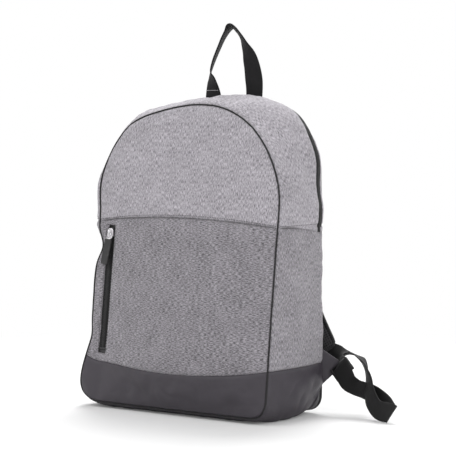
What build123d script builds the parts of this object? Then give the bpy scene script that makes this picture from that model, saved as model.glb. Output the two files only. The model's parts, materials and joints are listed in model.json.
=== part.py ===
"""A daypack with an arched body, a zipped front pocket, a carry handle and two shoulder straps.

The bag stands on its base. X runs across the bag, -Y is its front, +Y its back and +Z is up. The origin is
the centre of the flat base. The upper front opens forward as a flap once the main zip is undone.
"""

import os
from math import atan2, cos, degrees, radians, sin, sqrt, tan

from build123d import *

# Overall bag
BAG_WIDTH = 290.0
BAG_HEIGHT = 405.0
BASE_DEPTH = 136.0  # front to back at the floor
FRONT_LEAN = 7.8  # degrees that the front leans back from upright
SHOULDER_RADIUS = 105.0  # of the arched outline, either side of the top
CROWN_RADIUS = 180.0  # of the arched outline, across the top
BOTTOM_CORNER = 24.0
BAND_HEIGHT = 66.0  # top of the coated base band
POCKET_TOP = 242.0  # seam above the pocket, and hinge of the flap

# Fabrics and seams
WALL = 3.0  # padded gusset
PIPING = 4.0  # square cell that holds the piping cord
PANEL = 3.0  # front panels
LINING = 0.8
SEAM_GAP = 0.1  # between a panel and the piping around it
LINING_GAP = 0.2  # between a lining and the wall it hangs from
FLAP_GAP = 0.4  # between the flap and the body of the bag
BACK_SHEET = 3.0  # outer sheet of the back panel
BACK_FOAM = 5.0

# Crown of the front panels: how far the middle stands proud of the seam
BAND_CROWN_FOOT = 0.5
BAND_CROWN_LOW = 10.0
BAND_CROWN_LOW_HEIGHT = 30.0
BAND_CROWN = 16.0
POCKET_CROWN_MIDDLE = 16.0
POCKET_CROWN_TOP = 10.0
POCKET_WALL = 2.0  # sheet between the front pocket and the main compartment

# Zips
MAIN_ZIP_FROM_BACK = 14.0  # centre line of the main zip in front of the back face
TAPE_WIDTH = 5.85  # each side, from its seam to the coil's middle
TAPE = 1.0  # thickness
COIL_WIDTH = 4.7  # both halves together
COIL = 2.0  # thickness
ZIP_SLIT = 0.3  # between the two tapes
TAPE_DEPTH = 1.2  # tape below the outside of the gusset
POCKET_ZIP_X = -122.0
POCKET_ZIP_FOOT = 73.0
POCKET_ZIP_BELOW_SEAM = 7.0  # head of the pocket zip below the pocket's top

# Sliders and pulls
SLIDER_LENGTH = 14.0
SLIDER_WIDTH = 9.4
SLIDER_PLATE = 1.5
SLIDER_LIFT = 0.3  # plate above the coil
FLANGE = 1.3
FLANGE_GAP = 0.6  # flange beside the coil, and above the tape
BAIL_LENGTH = 9.0
BAIL_WIDTH = 2.4
BAIL_BAR = 1.0
BAIL_RISE = 2.2  # clear height under the bail
LINK_WIRE = 1.2
LINK_WIDTH = 6.0
LINK_LENGTH = 9.0
PULL_WIDTH = 8.0
PULL_THICKNESS = 2.6
POCKET_PULL_LENGTH = 36.0
MAIN_PULL_LENGTH = 30.0
POCKET_PULL_TILT = 8.0  # degrees, sideways in the plane of the panel
MAIN_SLIDER_ANGLE = 6.0  # degrees up the left shoulder arc from level
POCKET_SLIDER_DROP = 9.0  # slider's middle below the head of the pocket zip

# Webbing
WEBBING = 25.0
WEBBING_THICKNESS = 1.8
HANDLE_THICKNESS = 2.4
HANDLE_HALF_SPREAD = 34.0  # centre of each leg from the middle of the bag
HANDLE_RISE = 96.0  # top of the loop above the hinge
HANDLE_LEG = 14.0  # straight foot of each leg
HANDLE_TIP_RADIUS = 11.0
HANDLE_HINGE_RISE = 1.8  # hinge above the top of the bag
HANDLE_TWIST_SHARE = 0.6  # of each leg's height, over which it turns a quarter
HANDLE_STATIONS = 21
HINGE_GAP = 0.3

# Shoulder straps
STRAP_TOP = 372.0
STRAP_GAP = 0.3  # strap off the patch that it is sewn to
PATCH = 2.0
PATCH_WIDTH = 160.0
PATCH_HEIGHT = 46.0
PATCH_ABOVE_STRAP = 16.0
LOCK_WIDTH = 33.0
LOCK_LENGTH = 24.0
LOCK_THICKNESS = 4.0
LOCK_SLOT = 5.0
LOCK_BAR = 3.4
LOCK_CORNER = 3.0
LOCK_LIP = 6.0

# Wing tabs, the fabric triangles low on the back corners
TAB_REACH = 13.0  # direction of the tab, out from the side
TAB_BACK = 14.0  # and back
TAB_LOW = 32.0
TAB_HIGH = 86.0
TAB_NOSE_HIGH = (19.0, 67.0)  # along the tab, and height
TAB_NOSE_LOW = (12.5, 52.0)
TAB_THICKNESS = 2.4

# Route of a right shoulder strap: x, distance of its inner face from the patch, height, width, thickness
STRAP_ROUTE = [
    (46.0, 0.0, 372.0, 46.0, 5.0),
    (50.0, 2.0, 350.0, 52.0, 10.0),
    (60.0, 12.0, 300.0, 56.0, 12.0),
    (70.0, 19.0, 250.0, 54.0, 12.0),
    (80.0, 23.0, 200.0, 48.0, 12.0),
    (90.0, 24.0, 155.0, 42.0, 12.0),
    (101.0, 23.0, 122.0, 38.0, 11.0),
    (125.0, 22.0, 79.0, 33.0, 8.0),
]

# Where the webbing of a right strap meets the adjuster loop, end to end
MEETING_X = 169.0
MEETING_Y = 102.0
MEETING_Z = 79.0
WEBBING_GAP = 0.5

# Routes of webbing: a point of the middle line, then the direction across the webbing there
RIGHT_LOOP_ROUTE = [
    ((157.8, 79.9, 58.5), (0.35, 0.25, 0.90)),
    ((166.0, 80.5, 51.5), (0.50, 0.15, 0.85)),
    ((177.0, 80.0, 42.0), (0.50, 0.20, 0.84)),
    ((191.0, 76.8, 34.5), (0.38, 0.30, 0.87)),
    ((206.0, 69.5, 31.0), (0.35, 0.30, 0.88)),
    ((222.0, 62.0, 24.5), (0.40, 0.42, 0.80)),
    ((238.0, 54.2, 18.0), (0.30, 0.50, 0.80)),
    ((254.2, 48.9, 16.0), (0.23, 0.56, 0.80)),
    ((258.8, 50.8, 13.4), (0.23, 0.56, 0.80)),
    ((255.8, 55.1, 11.4), (0.23, 0.56, 0.80)),
    ((244.0, 59.5, 13.6), (0.35, 0.50, 0.78)),
    ((232.0, 66.5, 20.0), (0.60, 0.40, 0.68)),
    ((220.0, 75.0, 30.0), (0.79, 0.30, 0.53)),
    ((208.0, 84.0, 42.5), (0.82, -0.20, 0.52)),
    ((198.0, 91.0, 56.0), (0.68, -0.65, 0.34)),
    ((192.0, 96.0, 67.0), (0.55, -0.82, 0.05)),
    ((184.5, 100.0, 75.5), (0.30, -0.94, -0.15)),
    ((176.0, MEETING_Y, MEETING_Z), (0.00, -1.00, 0.00)),
    ((MEETING_X + WEBBING_GAP, MEETING_Y, MEETING_Z), (0.00, -1.00, 0.00)),
]
LEFT_LOOP_ROUTE = [
    ((-157.8, 79.9, 58.5), (-0.35, 0.25, 0.90)),
    ((-166.0, 80.5, 51.5), (-0.50, 0.15, 0.85)),
    ((-177.0, 83.0, 42.5), (-0.50, 0.15, 0.85)),
    ((-189.0, 87.0, 34.0), (-0.50, 0.10, 0.86)),
    ((-201.0, 92.0, 26.0), (-0.45, 0.20, 0.87)),
    ((-212.0, 96.2, 19.5), (-0.38, 0.18, 0.90)),
    ((-220.8, 99.4, 15.6), (-0.30, 0.15, 0.94)),
    ((-222.5, 104.7, 14.2), (-0.30, 0.15, 0.94)),
    ((-217.2, 106.6, 15.6), (-0.30, 0.15, 0.94)),
    ((-208.0, 106.0, 20.5), (-0.55, 0.10, 0.83)),
    ((-200.5, 107.0, 31.0), (-0.85, 0.10, 0.50)),
    ((-196.0, 109.0, 45.0), (-0.90, -0.30, 0.30)),
    ((-193.0, 110.0, 59.0), (-0.70, -0.70, 0.10)),
    ((-187.0, 106.5, 72.0), (-0.30, -0.95, -0.05)),
    ((-176.0, MEETING_Y, MEETING_Z), (0.00, -1.00, 0.00)),
    ((-MEETING_X - WEBBING_GAP, MEETING_Y, MEETING_Z), (0.00, -1.00, 0.00)),
]
# Webbing sewn into the end of a right strap pad. Its free end meets the loop.
STRAP_WEBBING_ROUTE = [
    ((136.5, 98.0, 67.5), (0.62, 0.20, 0.75)),
    ((146.0, 100.0, 68.5), (0.35, 0.60, 0.72)),
    ((154.0, 101.5, 72.0), (0.12, 0.88, 0.46)),
    ((160.5, 102.0, 76.5), (0.05, 0.99, 0.12)),
    ((165.0, MEETING_Y, MEETING_Z), (0.00, 1.00, 0.00)),
    ((MEETING_X, MEETING_Y, MEETING_Z), (0.00, 1.00, 0.00)),
]
BUCKLE_STATION = 1  # station of the loop that runs behind the buckle
BUCKLE_SHIFT = 3.0  # buckle's middle above the middle of the webbing
BUCKLE_ALONG = 5.0  # and past that station
BUCKLE_GAP = 1.7  # buckle in front of the webbing
STRAP_WEBBING_GAP = 0.3  # from the end of the pad to that webbing
STRAP_WEBBING_LEAD = 5.0  # first stretch of it, in line with the pad

# Values worked out from the sizes above
half_width = BAG_WIDTH / 2
front_foot = -BASE_DEPTH / 2
back_face = BASE_DEPTH / 2
back_sheet_front = back_face - BACK_SHEET
back_foam_front = back_sheet_front - BACK_FOAM
lean = radians(FRONT_LEAN)
centre_drop = CROWN_RADIUS - SHOULDER_RADIUS
shoulder_x = half_width - SHOULDER_RADIUS
crown_z = BAG_HEIGHT - CROWN_RADIUS
shoulder_z = crown_z + sqrt(centre_drop**2 - shoulder_x**2)
meet_angle = degrees(atan2(shoulder_z - crown_z, shoulder_x))
main_zip_y = back_face - MAIN_ZIP_FROM_BACK
pocket_zip_head = POCKET_TOP - POCKET_ZIP_BELOW_SEAM
slit_front = main_zip_y - ZIP_SLIT / 2
slit_back = main_zip_y + ZIP_SLIT / 2
zip_front = slit_front - TAPE_WIDTH
zip_back = slit_back + TAPE_WIDTH
coil_half = COIL_WIDTH / 2
panel_inset = PIPING + SEAM_GAP
panel_half = half_width - panel_inset
pocket_wall_back = PIPING + POCKET_WALL
lining_inset = WALL + LINING_GAP
patch_back = back_face + PATCH
strap_face = patch_back + STRAP_GAP
flap_foot = POCKET_TOP + FLAP_GAP
pocket_zip_left = POCKET_ZIP_X - TAPE_WIDTH - ZIP_SLIT / 2
pocket_zip_right = POCKET_ZIP_X + TAPE_WIDTH + ZIP_SLIT / 2
handle_hinge_z = BAG_HEIGHT + HANDLE_HINGE_RISE
handle_y = back_face - BACK_SHEET / 2


def front_y(height):
    """Y of the flat front at a height."""
    return front_foot + height * tan(lean)


def front_plane(depth):
    """Plane of the leaning front, moved into the bag by depth. Its normal points forward."""
    front = Plane(origin=(0, front_foot, 0), x_dir=(1, 0, 0), z_dir=(0, -cos(lean), sin(lean)))
    return front.offset(-depth)


def level(height):
    """Level plane at a height."""
    return Plane.XY.offset(height)


def bag_outline(inset):
    """Edges of the bag's outline seen from the front, moved inwards by inset."""
    half = half_width - inset
    corner = BOTTOM_CORNER - inset
    with BuildLine() as outline:
        Line((0, inset), (half - corner, inset))
        CenterArc((half - corner, inset + corner), corner, 270, 90)
        Line((half, inset + corner), (half, shoulder_z))
        CenterArc((shoulder_x, shoulder_z), SHOULDER_RADIUS - inset, 0, meet_angle)
        CenterArc((0, crown_z), CROWN_RADIUS - inset, meet_angle, 90 - meet_angle)
        mirror(about=Plane.YZ)
    return outline.edges()


def ring_strip(outer, inner, front, back):
    """Strip that follows the outline between two insets, from front to back along Y."""
    with BuildPart() as strip:
        with BuildSketch(Plane.XZ.offset(-back)):
            make_face(bag_outline(outer))
            make_face(bag_outline(inner), mode=Mode.SUBTRACT)
        extrude(amount=back - front)
    return strip.part


def outline_sheet(inset, front, back):
    """Sheet with the bag's outline, from front to back along Y."""
    with BuildPart() as sheet:
        with BuildSketch(Plane.XZ.offset(-back)):
            make_face(bag_outline(inset))
        extrude(amount=back - front)
    return sheet.part


def leaning_sheet(inset, outer_depth, inner_depth):
    """Sheet with the bag's outline that lies along the leaning front, between two depths."""
    with BuildPart() as sheet:
        add(outline_sheet(inset, front_foot - PIPING, back_foam_front))
        split(bisect_by=front_plane(outer_depth), keep=Keep.BOTTOM)
        split(bisect_by=front_plane(inner_depth), keep=Keep.TOP)
    return sheet.part


def front_slab(left, right, foot, head, outer_depth, inner_depth):
    """Flat slab in the leaning front, between two x, two heights and two depths."""
    with BuildPart() as slab:
        with BuildSketch(front_plane(inner_depth)):
            with Locations(((left + right) / 2, (foot + head) / 2)):
                Rectangle(right - left, 2 * (head - foot))
        extrude(amount=inner_depth - outer_depth)
        split(bisect_by=level(foot), keep=Keep.TOP)
        split(bisect_by=level(head), keep=Keep.BOTTOM)
    return slab.part


def crowned_section(height, left, right, crown):
    """Level section of a front panel that is crowned between its two side seams."""
    seam = front_y(height)
    middle = (left + right) / 2
    with BuildSketch(level(height)) as section:
        with BuildLine():
            ThreePointArc((left, seam), (middle, seam - crown), (right, seam))
            Line((right, seam), (right, seam + PANEL))
            ThreePointArc((right, seam + PANEL), (middle, seam - crown + PANEL), (left, seam + PANEL))
            Line((left, seam + PANEL), (left, seam))
        make_face()
    return section.sketch


def frame_at(stations, index):
    """Point, direction across, and normal of webbing at one of its stations."""
    points = [Vector(*point) for point, _ in stations]
    along = (points[min(index + 1, len(points) - 1)] - points[max(index - 1, 0)]).normalized()
    across = Vector(*stations[index][1])
    across = (across - along * across.dot(along)).normalized()
    return points[index], across, along.cross(across)


def ribbon(stations, thickness):
    """Flat webbing through stations, each a point and the direction across the webbing."""
    corners = []
    for index in range(len(stations)):
        point, across, normal = frame_at(stations, index)
        edge = across * WEBBING / 2
        face = normal * thickness / 2
        corners.append((point + edge + face, point - edge + face, point - edge - face, point + edge - face))
    faces = [Face(Wire.make_polygon(end)) for end in (corners[0], corners[-1])]
    for near, far in zip(corners, corners[1:]):
        for side in range(4):
            after = (side + 1) % 4
            near_edge = Edge.make_line(near[side], near[after])
            far_edge = Edge.make_line(far[side], far[after])
            faces.append(Face.make_surface_from_curves(near_edge, far_edge))
    return Solid(Shell(faces))


def handle_point(turn):
    """Middle line of the carry handle at a share of the way from its left foot to its right foot."""
    side = -1 if turn < 0.5 else 1
    share = 1 - abs(2 * turn - 1)
    arch_rise = HANDLE_RISE - HANDLE_LEG
    reach = (arch_rise**2 - HANDLE_HALF_SPREAD**2) / (2 * HANDLE_HALF_SPREAD)
    radius = reach + HANDLE_HALF_SPREAD
    rise = share * (HANDLE_RISE - HANDLE_TIP_RADIUS / 2 * share**4)
    above = max(0.0, rise - HANDLE_LEG)
    spread = sqrt(radius**2 - above**2) - reach
    return (side * spread, handle_y, handle_hinge_z + rise)


def handle_stations():
    """Stations of the carry handle. Each leg turns a quarter, so the top lies flat in the hand."""
    stations = []
    for index in range(HANDLE_STATIONS):
        turn = index / (HANDLE_STATIONS - 1)
        share = 1 - abs(2 * turn - 1)
        quarter = radians(90 * min(1.0, share / HANDLE_TWIST_SHARE))
        side = 1 if turn <= 0.5 else -1
        across = (side * cos(quarter), -sin(quarter), 0.0)
        stations.append((handle_point(turn), across))
    return stations


def zip_slider(seat, flanges):
    """Slider on a zip. seat lies on top of the coil, its y runs along the zip and its z points out."""
    plate_foot = SLIDER_LIFT
    plate_top = plate_foot + SLIDER_PLATE
    with BuildPart(seat) as slider:
        with BuildSketch(seat.offset(plate_foot)):
            RectangleRounded(SLIDER_WIDTH, SLIDER_LENGTH, SLIDER_WIDTH / 3)
        extrude(amount=SLIDER_PLATE)
        flange_drop = COIL + plate_foot - FLANGE_GAP
        for side in flanges:
            middle = side * (coil_half + FLANGE_GAP + FLANGE / 2)
            with BuildSketch(seat.offset(plate_foot - flange_drop)):
                with Locations((middle, 0)):
                    Rectangle(FLANGE, SLIDER_LENGTH - SLIDER_WIDTH / 2)
            extrude(amount=flange_drop)
        with BuildSketch(seat.offset(plate_top)):
            Rectangle(BAIL_WIDTH, BAIL_LENGTH)
        extrude(amount=BAIL_RISE + BAIL_BAR)
        with BuildSketch(seat.offset(plate_top)):
            Rectangle(BAIL_WIDTH, BAIL_LENGTH - 2 * BAIL_BAR)
        extrude(amount=BAIL_RISE, mode=Mode.SUBTRACT)
    return slider.part


def pull_axis_height():
    """Height of the pull's hinge above the top of the coil."""
    return SLIDER_LIFT + SLIDER_PLATE + BAIL_RISE / 2


def zip_pull(seat, length):
    """Pull that hangs from a slider: a wire link round the bail, and a rubber grip below it."""
    axis = pull_axis_height()
    outer_half = LINK_WIDTH / 2
    with BuildPart() as pull:
        with BuildSketch(seat.offset(axis - LINK_WIRE / 2)):
            with Locations((0, (LINK_WIRE - LINK_LENGTH) / 2)):
                Rectangle(LINK_WIDTH, LINK_LENGTH)
                Rectangle(LINK_WIDTH - 2 * LINK_WIRE, LINK_LENGTH - 2 * LINK_WIRE, mode=Mode.SUBTRACT)
        extrude(amount=LINK_WIRE)
        with BuildSketch(seat.offset(axis - PULL_THICKNESS / 2)):
            with Locations((0, LINK_WIRE / 2 - LINK_LENGTH - length / 2 + LINK_WIRE)):
                RectangleRounded(PULL_WIDTH, length, outer_half)
        extrude(amount=PULL_THICKNESS)
    return pull.part


def strap_pad():
    """Padded right shoulder strap, lofted along its route."""
    middles = [Vector(x, strap_face + off + thick / 2, z) for x, off, z, _, thick in STRAP_ROUTE]
    with BuildPart() as pad:
        for index, (_, _, _, width, thickness) in enumerate(STRAP_ROUTE):
            along = middles[min(index + 1, len(middles) - 1)] - middles[max(index - 1, 0)]
            if index == 0:
                along = Vector(0, 0, -1)
            across = Vector(-along.Z, 0, along.X).normalized()
            with BuildSketch(Plane(middles[index], x_dir=across, z_dir=along)):
                Rectangle(width, thickness)
        loft(ruled=True)
    return pad.part


def ladder_lock():
    """Right adjuster buckle: a plate with two slots, in front of the webbing, and a lip to pull it by."""
    point, across, normal = frame_at(RIGHT_LOOP_ROUTE, BUCKLE_STATION)
    along = across.cross(normal)
    side_step = across * BUCKLE_SHIFT + along * BUCKLE_ALONG
    back = point + side_step + normal * (WEBBING_THICKNESS / 2 + BUCKLE_GAP)
    body = Plane(back, x_dir=across, z_dir=normal)
    slot_step = LOCK_SLOT + LOCK_BAR
    with BuildPart() as lock:
        with BuildSketch(body):
            RectangleRounded(LOCK_WIDTH, LOCK_LENGTH, LOCK_CORNER)
            with GridLocations(0, slot_step, 1, 2):
                Rectangle(LOCK_WIDTH - 2 * LOCK_BAR, LOCK_SLOT, mode=Mode.SUBTRACT)
        extrude(amount=LOCK_THICKNESS)
        with BuildSketch(body.offset(LOCK_THICKNESS)):
            with Locations((0, LOCK_BAR / 2 - LOCK_LENGTH / 2)):
                Rectangle(LOCK_WIDTH - 2 * LOCK_CORNER, LOCK_BAR)
        extrude(amount=LOCK_LIP, taper=8)
    return lock.part


def strap_webbing():
    """Webbing from the end of the right strap pad out to the free loop."""
    x, off, z, _, thickness = STRAP_ROUTE[-1]
    before = STRAP_ROUTE[-2]
    run = Vector(x - before[0], 0, z - before[2]).normalized()
    across = (-run.Z, 0.0, run.X)
    start = Vector(x, strap_face + off + thickness / 2, z) + run * STRAP_WEBBING_GAP
    lead = start + run * STRAP_WEBBING_LEAD
    stations = [(tuple(start), across), (tuple(lead), across), *STRAP_WEBBING_ROUTE]
    return ribbon(stations, WEBBING_THICKNESS)


def wing_tab():
    """Right fabric triangle in the low back corner, which holds the end of the adjuster webbing."""
    corner = Vector(half_width, back_face - TAB_THICKNESS / 2, 0)
    out = Vector(TAB_REACH, TAB_BACK, 0)
    sheet = Plane(corner, x_dir=out, z_dir=out.cross(Vector(0, 0, 1)))
    start = TAB_THICKNESS
    outline = ((start, TAB_LOW), (start, TAB_HIGH), TAB_NOSE_HIGH, TAB_NOSE_LOW)
    with BuildPart() as tab:
        with BuildSketch(sheet.offset(-TAB_THICKNESS / 2)):
            with BuildLine():
                Polyline(*outline, close=True)
            make_face()
        extrude(amount=TAB_THICKNESS)
    return tab.part


os.makedirs("parts", exist_ok=True)

# Piping along the edge of the front
with BuildPart() as piping_lower:
    add(ring_strip(0, PIPING, front_foot, back_foam_front))
    split(bisect_by=front_plane(0), keep=Keep.BOTTOM)
    split(bisect_by=front_plane(PIPING), keep=Keep.TOP)
    split(bisect_by=level(POCKET_TOP), keep=Keep.BOTTOM)
piping_lower.part.label = "piping_lower"
export_step(piping_lower.part, "parts/piping_lower.step")

with BuildPart() as piping_upper:
    add(ring_strip(0, PIPING, front_foot, back_foam_front))
    split(bisect_by=front_plane(0), keep=Keep.BOTTOM)
    split(bisect_by=front_plane(PIPING), keep=Keep.TOP)
    split(bisect_by=level(flap_foot), keep=Keep.TOP)
piping_upper.part.label = "piping_upper"
export_step(piping_upper.part, "parts/piping_upper.step")

# Gusset: base, sides, and the two strips of the upper part with the main zip between them
with BuildPart() as base_gusset:
    add(ring_strip(0, WALL, front_foot, back_sheet_front))
    split(bisect_by=front_plane(PIPING), keep=Keep.BOTTOM)
    split(bisect_by=level(BAND_HEIGHT), keep=Keep.BOTTOM)
base_gusset.part.label = "base_gusset"
export_step(base_gusset.part, "parts/base_gusset.step")

for side_name, side_keep in (("left", Keep.BOTTOM), ("right", Keep.TOP)):
    with BuildPart() as side_panel:
        add(ring_strip(0, WALL, front_foot, back_sheet_front))
        split(bisect_by=front_plane(PIPING), keep=Keep.BOTTOM)
        split(bisect_by=level(BAND_HEIGHT), keep=Keep.TOP)
        split(bisect_by=level(POCKET_TOP), keep=Keep.BOTTOM)
        split(bisect_by=Plane.YZ, keep=side_keep)
    side_panel.part.label = f"side_panel_{side_name}"
    export_step(side_panel.part, f"parts/side_panel_{side_name}.step")

with BuildPart() as gusset_front:
    add(ring_strip(0, WALL, front_foot, zip_front))
    split(bisect_by=front_plane(PIPING), keep=Keep.BOTTOM)
    split(bisect_by=level(flap_foot), keep=Keep.TOP)
gusset_front.part.label = "gusset_front"
export_step(gusset_front.part, "parts/gusset_front.step")

with BuildPart() as gusset_back:
    add(ring_strip(0, WALL, zip_back, back_sheet_front))
    split(bisect_by=level(POCKET_TOP), keep=Keep.TOP)
gusset_back.part.label = "gusset_back"
export_step(gusset_back.part, "parts/gusset_back.step")

# Main zip: a tape and half a coil on each side of the slit
main_zip_pieces = (
    ("main_zip_tape_front", TAPE_DEPTH, TAPE_DEPTH + TAPE, zip_front, slit_front, flap_foot),
    ("main_zip_coil_front", TAPE_DEPTH - COIL, TAPE_DEPTH, main_zip_y - coil_half, slit_front, flap_foot),
    ("main_zip_tape_back", TAPE_DEPTH, TAPE_DEPTH + TAPE, slit_back, zip_back, POCKET_TOP),
    ("main_zip_coil_back", TAPE_DEPTH - COIL, TAPE_DEPTH, slit_back, main_zip_y + coil_half, POCKET_TOP),
)
for piece_name, outer, inner, front, back, foot in main_zip_pieces:
    with BuildPart() as zip_piece:
        add(ring_strip(outer, inner, front, back))
        split(bisect_by=level(foot), keep=Keep.TOP)
    zip_piece.part.label = piece_name
    export_step(zip_piece.part, f"parts/{piece_name}.step")

# Back: outer sheet, foam, and the patch that the shoulder straps are sewn to
with BuildPart() as back_panel:
    add(outline_sheet(0, back_sheet_front, back_face))
back_panel.part.label = "back_panel"
export_step(back_panel.part, "parts/back_panel.step")

with BuildPart() as back_foam:
    add(outline_sheet(WALL + SEAM_GAP, back_foam_front, back_sheet_front))
back_foam.part.label = "back_foam"
export_step(back_foam.part, "parts/back_foam.step")

with BuildPart() as strap_patch:
    with BuildSketch(Plane.XZ.offset(-patch_back)):
        with Locations((0, STRAP_TOP + PATCH_ABOVE_STRAP - PATCH_HEIGHT / 2)):
            Rectangle(PATCH_WIDTH, PATCH_HEIGHT)
    extrude(amount=PATCH)
strap_patch.part.label = "strap_patch"
export_step(strap_patch.part, "parts/strap_patch.step")

# Front: coated band, pocket panel, and the strip beside the pocket zip
with BuildPart() as base_front:
    loft(
        sections=[
            crowned_section(panel_inset, pocket_zip_right, panel_half, BAND_CROWN_FOOT),
            crowned_section(BAND_CROWN_LOW_HEIGHT, pocket_zip_right, panel_half, BAND_CROWN_LOW),
            crowned_section(BAND_HEIGHT, pocket_zip_right, panel_half, BAND_CROWN),
        ]
    )
    # It lies flat below the pocket zip, where the slider's pull hangs
    add(front_slab(-panel_half, pocket_zip_right, panel_inset, BAND_HEIGHT, 0, PANEL))
    add(outline_sheet(panel_inset, front_foot - 2 * BAND_CROWN, 0), mode=Mode.INTERSECT)
base_front.part.label = "base_front"
export_step(base_front.part, "parts/base_front.step")

with BuildPart() as pocket_panel:
    pocket_middle = (BAND_HEIGHT + POCKET_TOP) / 2
    loft(
        sections=[
            crowned_section(BAND_HEIGHT, pocket_zip_right, panel_half, BAND_CROWN),
            crowned_section(pocket_middle, pocket_zip_right, panel_half, POCKET_CROWN_MIDDLE),
            crowned_section(POCKET_TOP, pocket_zip_right, panel_half, POCKET_CROWN_TOP),
        ]
    )
pocket_panel.part.label = "pocket_panel"
export_step(pocket_panel.part, "parts/pocket_panel.step")

with BuildPart() as pocket_strip:
    add(front_slab(-panel_half, pocket_zip_left, BAND_HEIGHT, POCKET_TOP, 0, PANEL))
pocket_strip.part.label = "pocket_strip"
export_step(pocket_strip.part, "parts/pocket_strip.step")

with BuildPart() as pocket_back_wall:
    add(leaning_sheet(WALL + SEAM_GAP, PIPING, pocket_wall_back))
    split(bisect_by=level(POCKET_TOP), keep=Keep.BOTTOM)
pocket_back_wall.part.label = "pocket_back_wall"
export_step(pocket_back_wall.part, "parts/pocket_back_wall.step")

with BuildPart() as front_upper:
    add(leaning_sheet(panel_inset, 0, PIPING))
    split(bisect_by=level(flap_foot), keep=Keep.TOP)
front_upper.part.label = "front_upper"
export_step(front_upper.part, "parts/front_upper.step")

# Pocket zip
pocket_tapes = (
    ("pocket_zip_tape_left", pocket_zip_left, POCKET_ZIP_X - ZIP_SLIT / 2),
    ("pocket_zip_tape_right", POCKET_ZIP_X + ZIP_SLIT / 2, pocket_zip_right),
)
for piece_name, left, right in pocket_tapes:
    with BuildPart() as pocket_tape:
        add(front_slab(left, right, BAND_HEIGHT, POCKET_TOP, TAPE_DEPTH, TAPE_DEPTH + TAPE))
    pocket_tape.part.label = piece_name
    export_step(pocket_tape.part, f"parts/{piece_name}.step")

with BuildPart() as pocket_zip_coil:
    left, right = POCKET_ZIP_X - coil_half, POCKET_ZIP_X + coil_half
    add(front_slab(left, right, POCKET_ZIP_FOOT, pocket_zip_head, TAPE_DEPTH - COIL, TAPE_DEPTH))
pocket_zip_coil.part.label = "pocket_zip_coil"
export_step(pocket_zip_coil.part, "parts/pocket_zip_coil.step")

# Linings
with BuildPart() as lining_body:
    add(ring_strip(lining_inset, lining_inset + LINING, front_foot, back_foam_front - LINING))
    split(bisect_by=front_plane(pocket_wall_back + LINING_GAP), keep=Keep.BOTTOM)
    split(bisect_by=level(POCKET_TOP), keep=Keep.BOTTOM)
    add(outline_sheet(lining_inset, back_foam_front - LINING, back_foam_front))
lining_body.part.label = "lining_body"
export_step(lining_body.part, "parts/lining_body.step")

with BuildPart() as lining_flap:
    add(ring_strip(lining_inset, lining_inset + LINING, front_foot, zip_front))
    split(bisect_by=front_plane(PIPING + LINING_GAP), keep=Keep.BOTTOM)
    add(leaning_sheet(lining_inset, PIPING + LINING_GAP, PIPING + LINING_GAP + LINING))
    split(bisect_by=level(flap_foot), keep=Keep.TOP)
lining_flap.part.label = "lining_flap"
export_step(lining_flap.part, "parts/lining_flap.step")

# Sliders and pulls
pocket_slider_height = pocket_zip_head - POCKET_SLIDER_DROP
pocket_seat = Plane(
    front_plane(TAPE_DEPTH - COIL).from_local_coords((POCKET_ZIP_X, pocket_slider_height / cos(lean), 0)),
    x_dir=(1, 0, 0),
    z_dir=(0, -cos(lean), sin(lean)),
)
arc_angle = radians(180 - MAIN_SLIDER_ANGLE)
coil_radius = SHOULDER_RADIUS - (TAPE_DEPTH - COIL)
main_seat = Plane(
    (-shoulder_x + coil_radius * cos(arc_angle), main_zip_y, shoulder_z + coil_radius * sin(arc_angle)),
    x_dir=(0, -1, 0),
    z_dir=(cos(arc_angle), 0, sin(arc_angle)),
)

with BuildPart() as pocket_slider:
    add(zip_slider(pocket_seat, (-1, 1)))
pocket_slider.part.label = "pocket_slider"
export_step(pocket_slider.part, "parts/pocket_slider.step")

with BuildPart() as pocket_pull:
    add(zip_pull(pocket_seat.rotated((0, 0, -POCKET_PULL_TILT)), POCKET_PULL_LENGTH))
pocket_pull.part.label = "pocket_pull"
export_step(pocket_pull.part, "parts/pocket_pull.step")

with BuildPart() as main_slider:
    add(zip_slider(main_seat, (1,)))
main_slider.part.label = "main_slider"
export_step(main_slider.part, "parts/main_slider.step")

with BuildPart() as main_pull:
    add(zip_pull(main_seat, MAIN_PULL_LENGTH))
main_pull.part.label = "main_pull"
export_step(main_pull.part, "parts/main_pull.step")

# Carry handle, and the two webbing ends that stand out of the top seam
with BuildPart() as carry_handle:
    add(ribbon(handle_stations(), HANDLE_THICKNESS))
    for side in (-1, 1):
        with BuildSketch(Plane.YZ.offset(side * HANDLE_HALF_SPREAD - WEBBING / 2)):
            with Locations((handle_y, handle_hinge_z)):
                Circle(HANDLE_THICKNESS / 2)
        extrude(amount=WEBBING)
carry_handle.part.label = "carry_handle"
export_step(carry_handle.part, "parts/carry_handle.step")

for side_name, side in (("left", -1), ("right", 1)):
    with BuildPart() as handle_anchor:
        anchor_head = handle_hinge_z - HANDLE_THICKNESS / 2 - HINGE_GAP
        with BuildSketch(level(shoulder_z)):
            with Locations((side * HANDLE_HALF_SPREAD, handle_y)):
                Rectangle(WEBBING, HANDLE_THICKNESS)
        extrude(amount=anchor_head - shoulder_z)
        add(outline_sheet(0, back_foam_front, back_face), mode=Mode.SUBTRACT)
    handle_anchor.part.label = f"handle_anchor_{side_name}"
    export_step(handle_anchor.part, f"parts/handle_anchor_{side_name}.step")

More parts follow.
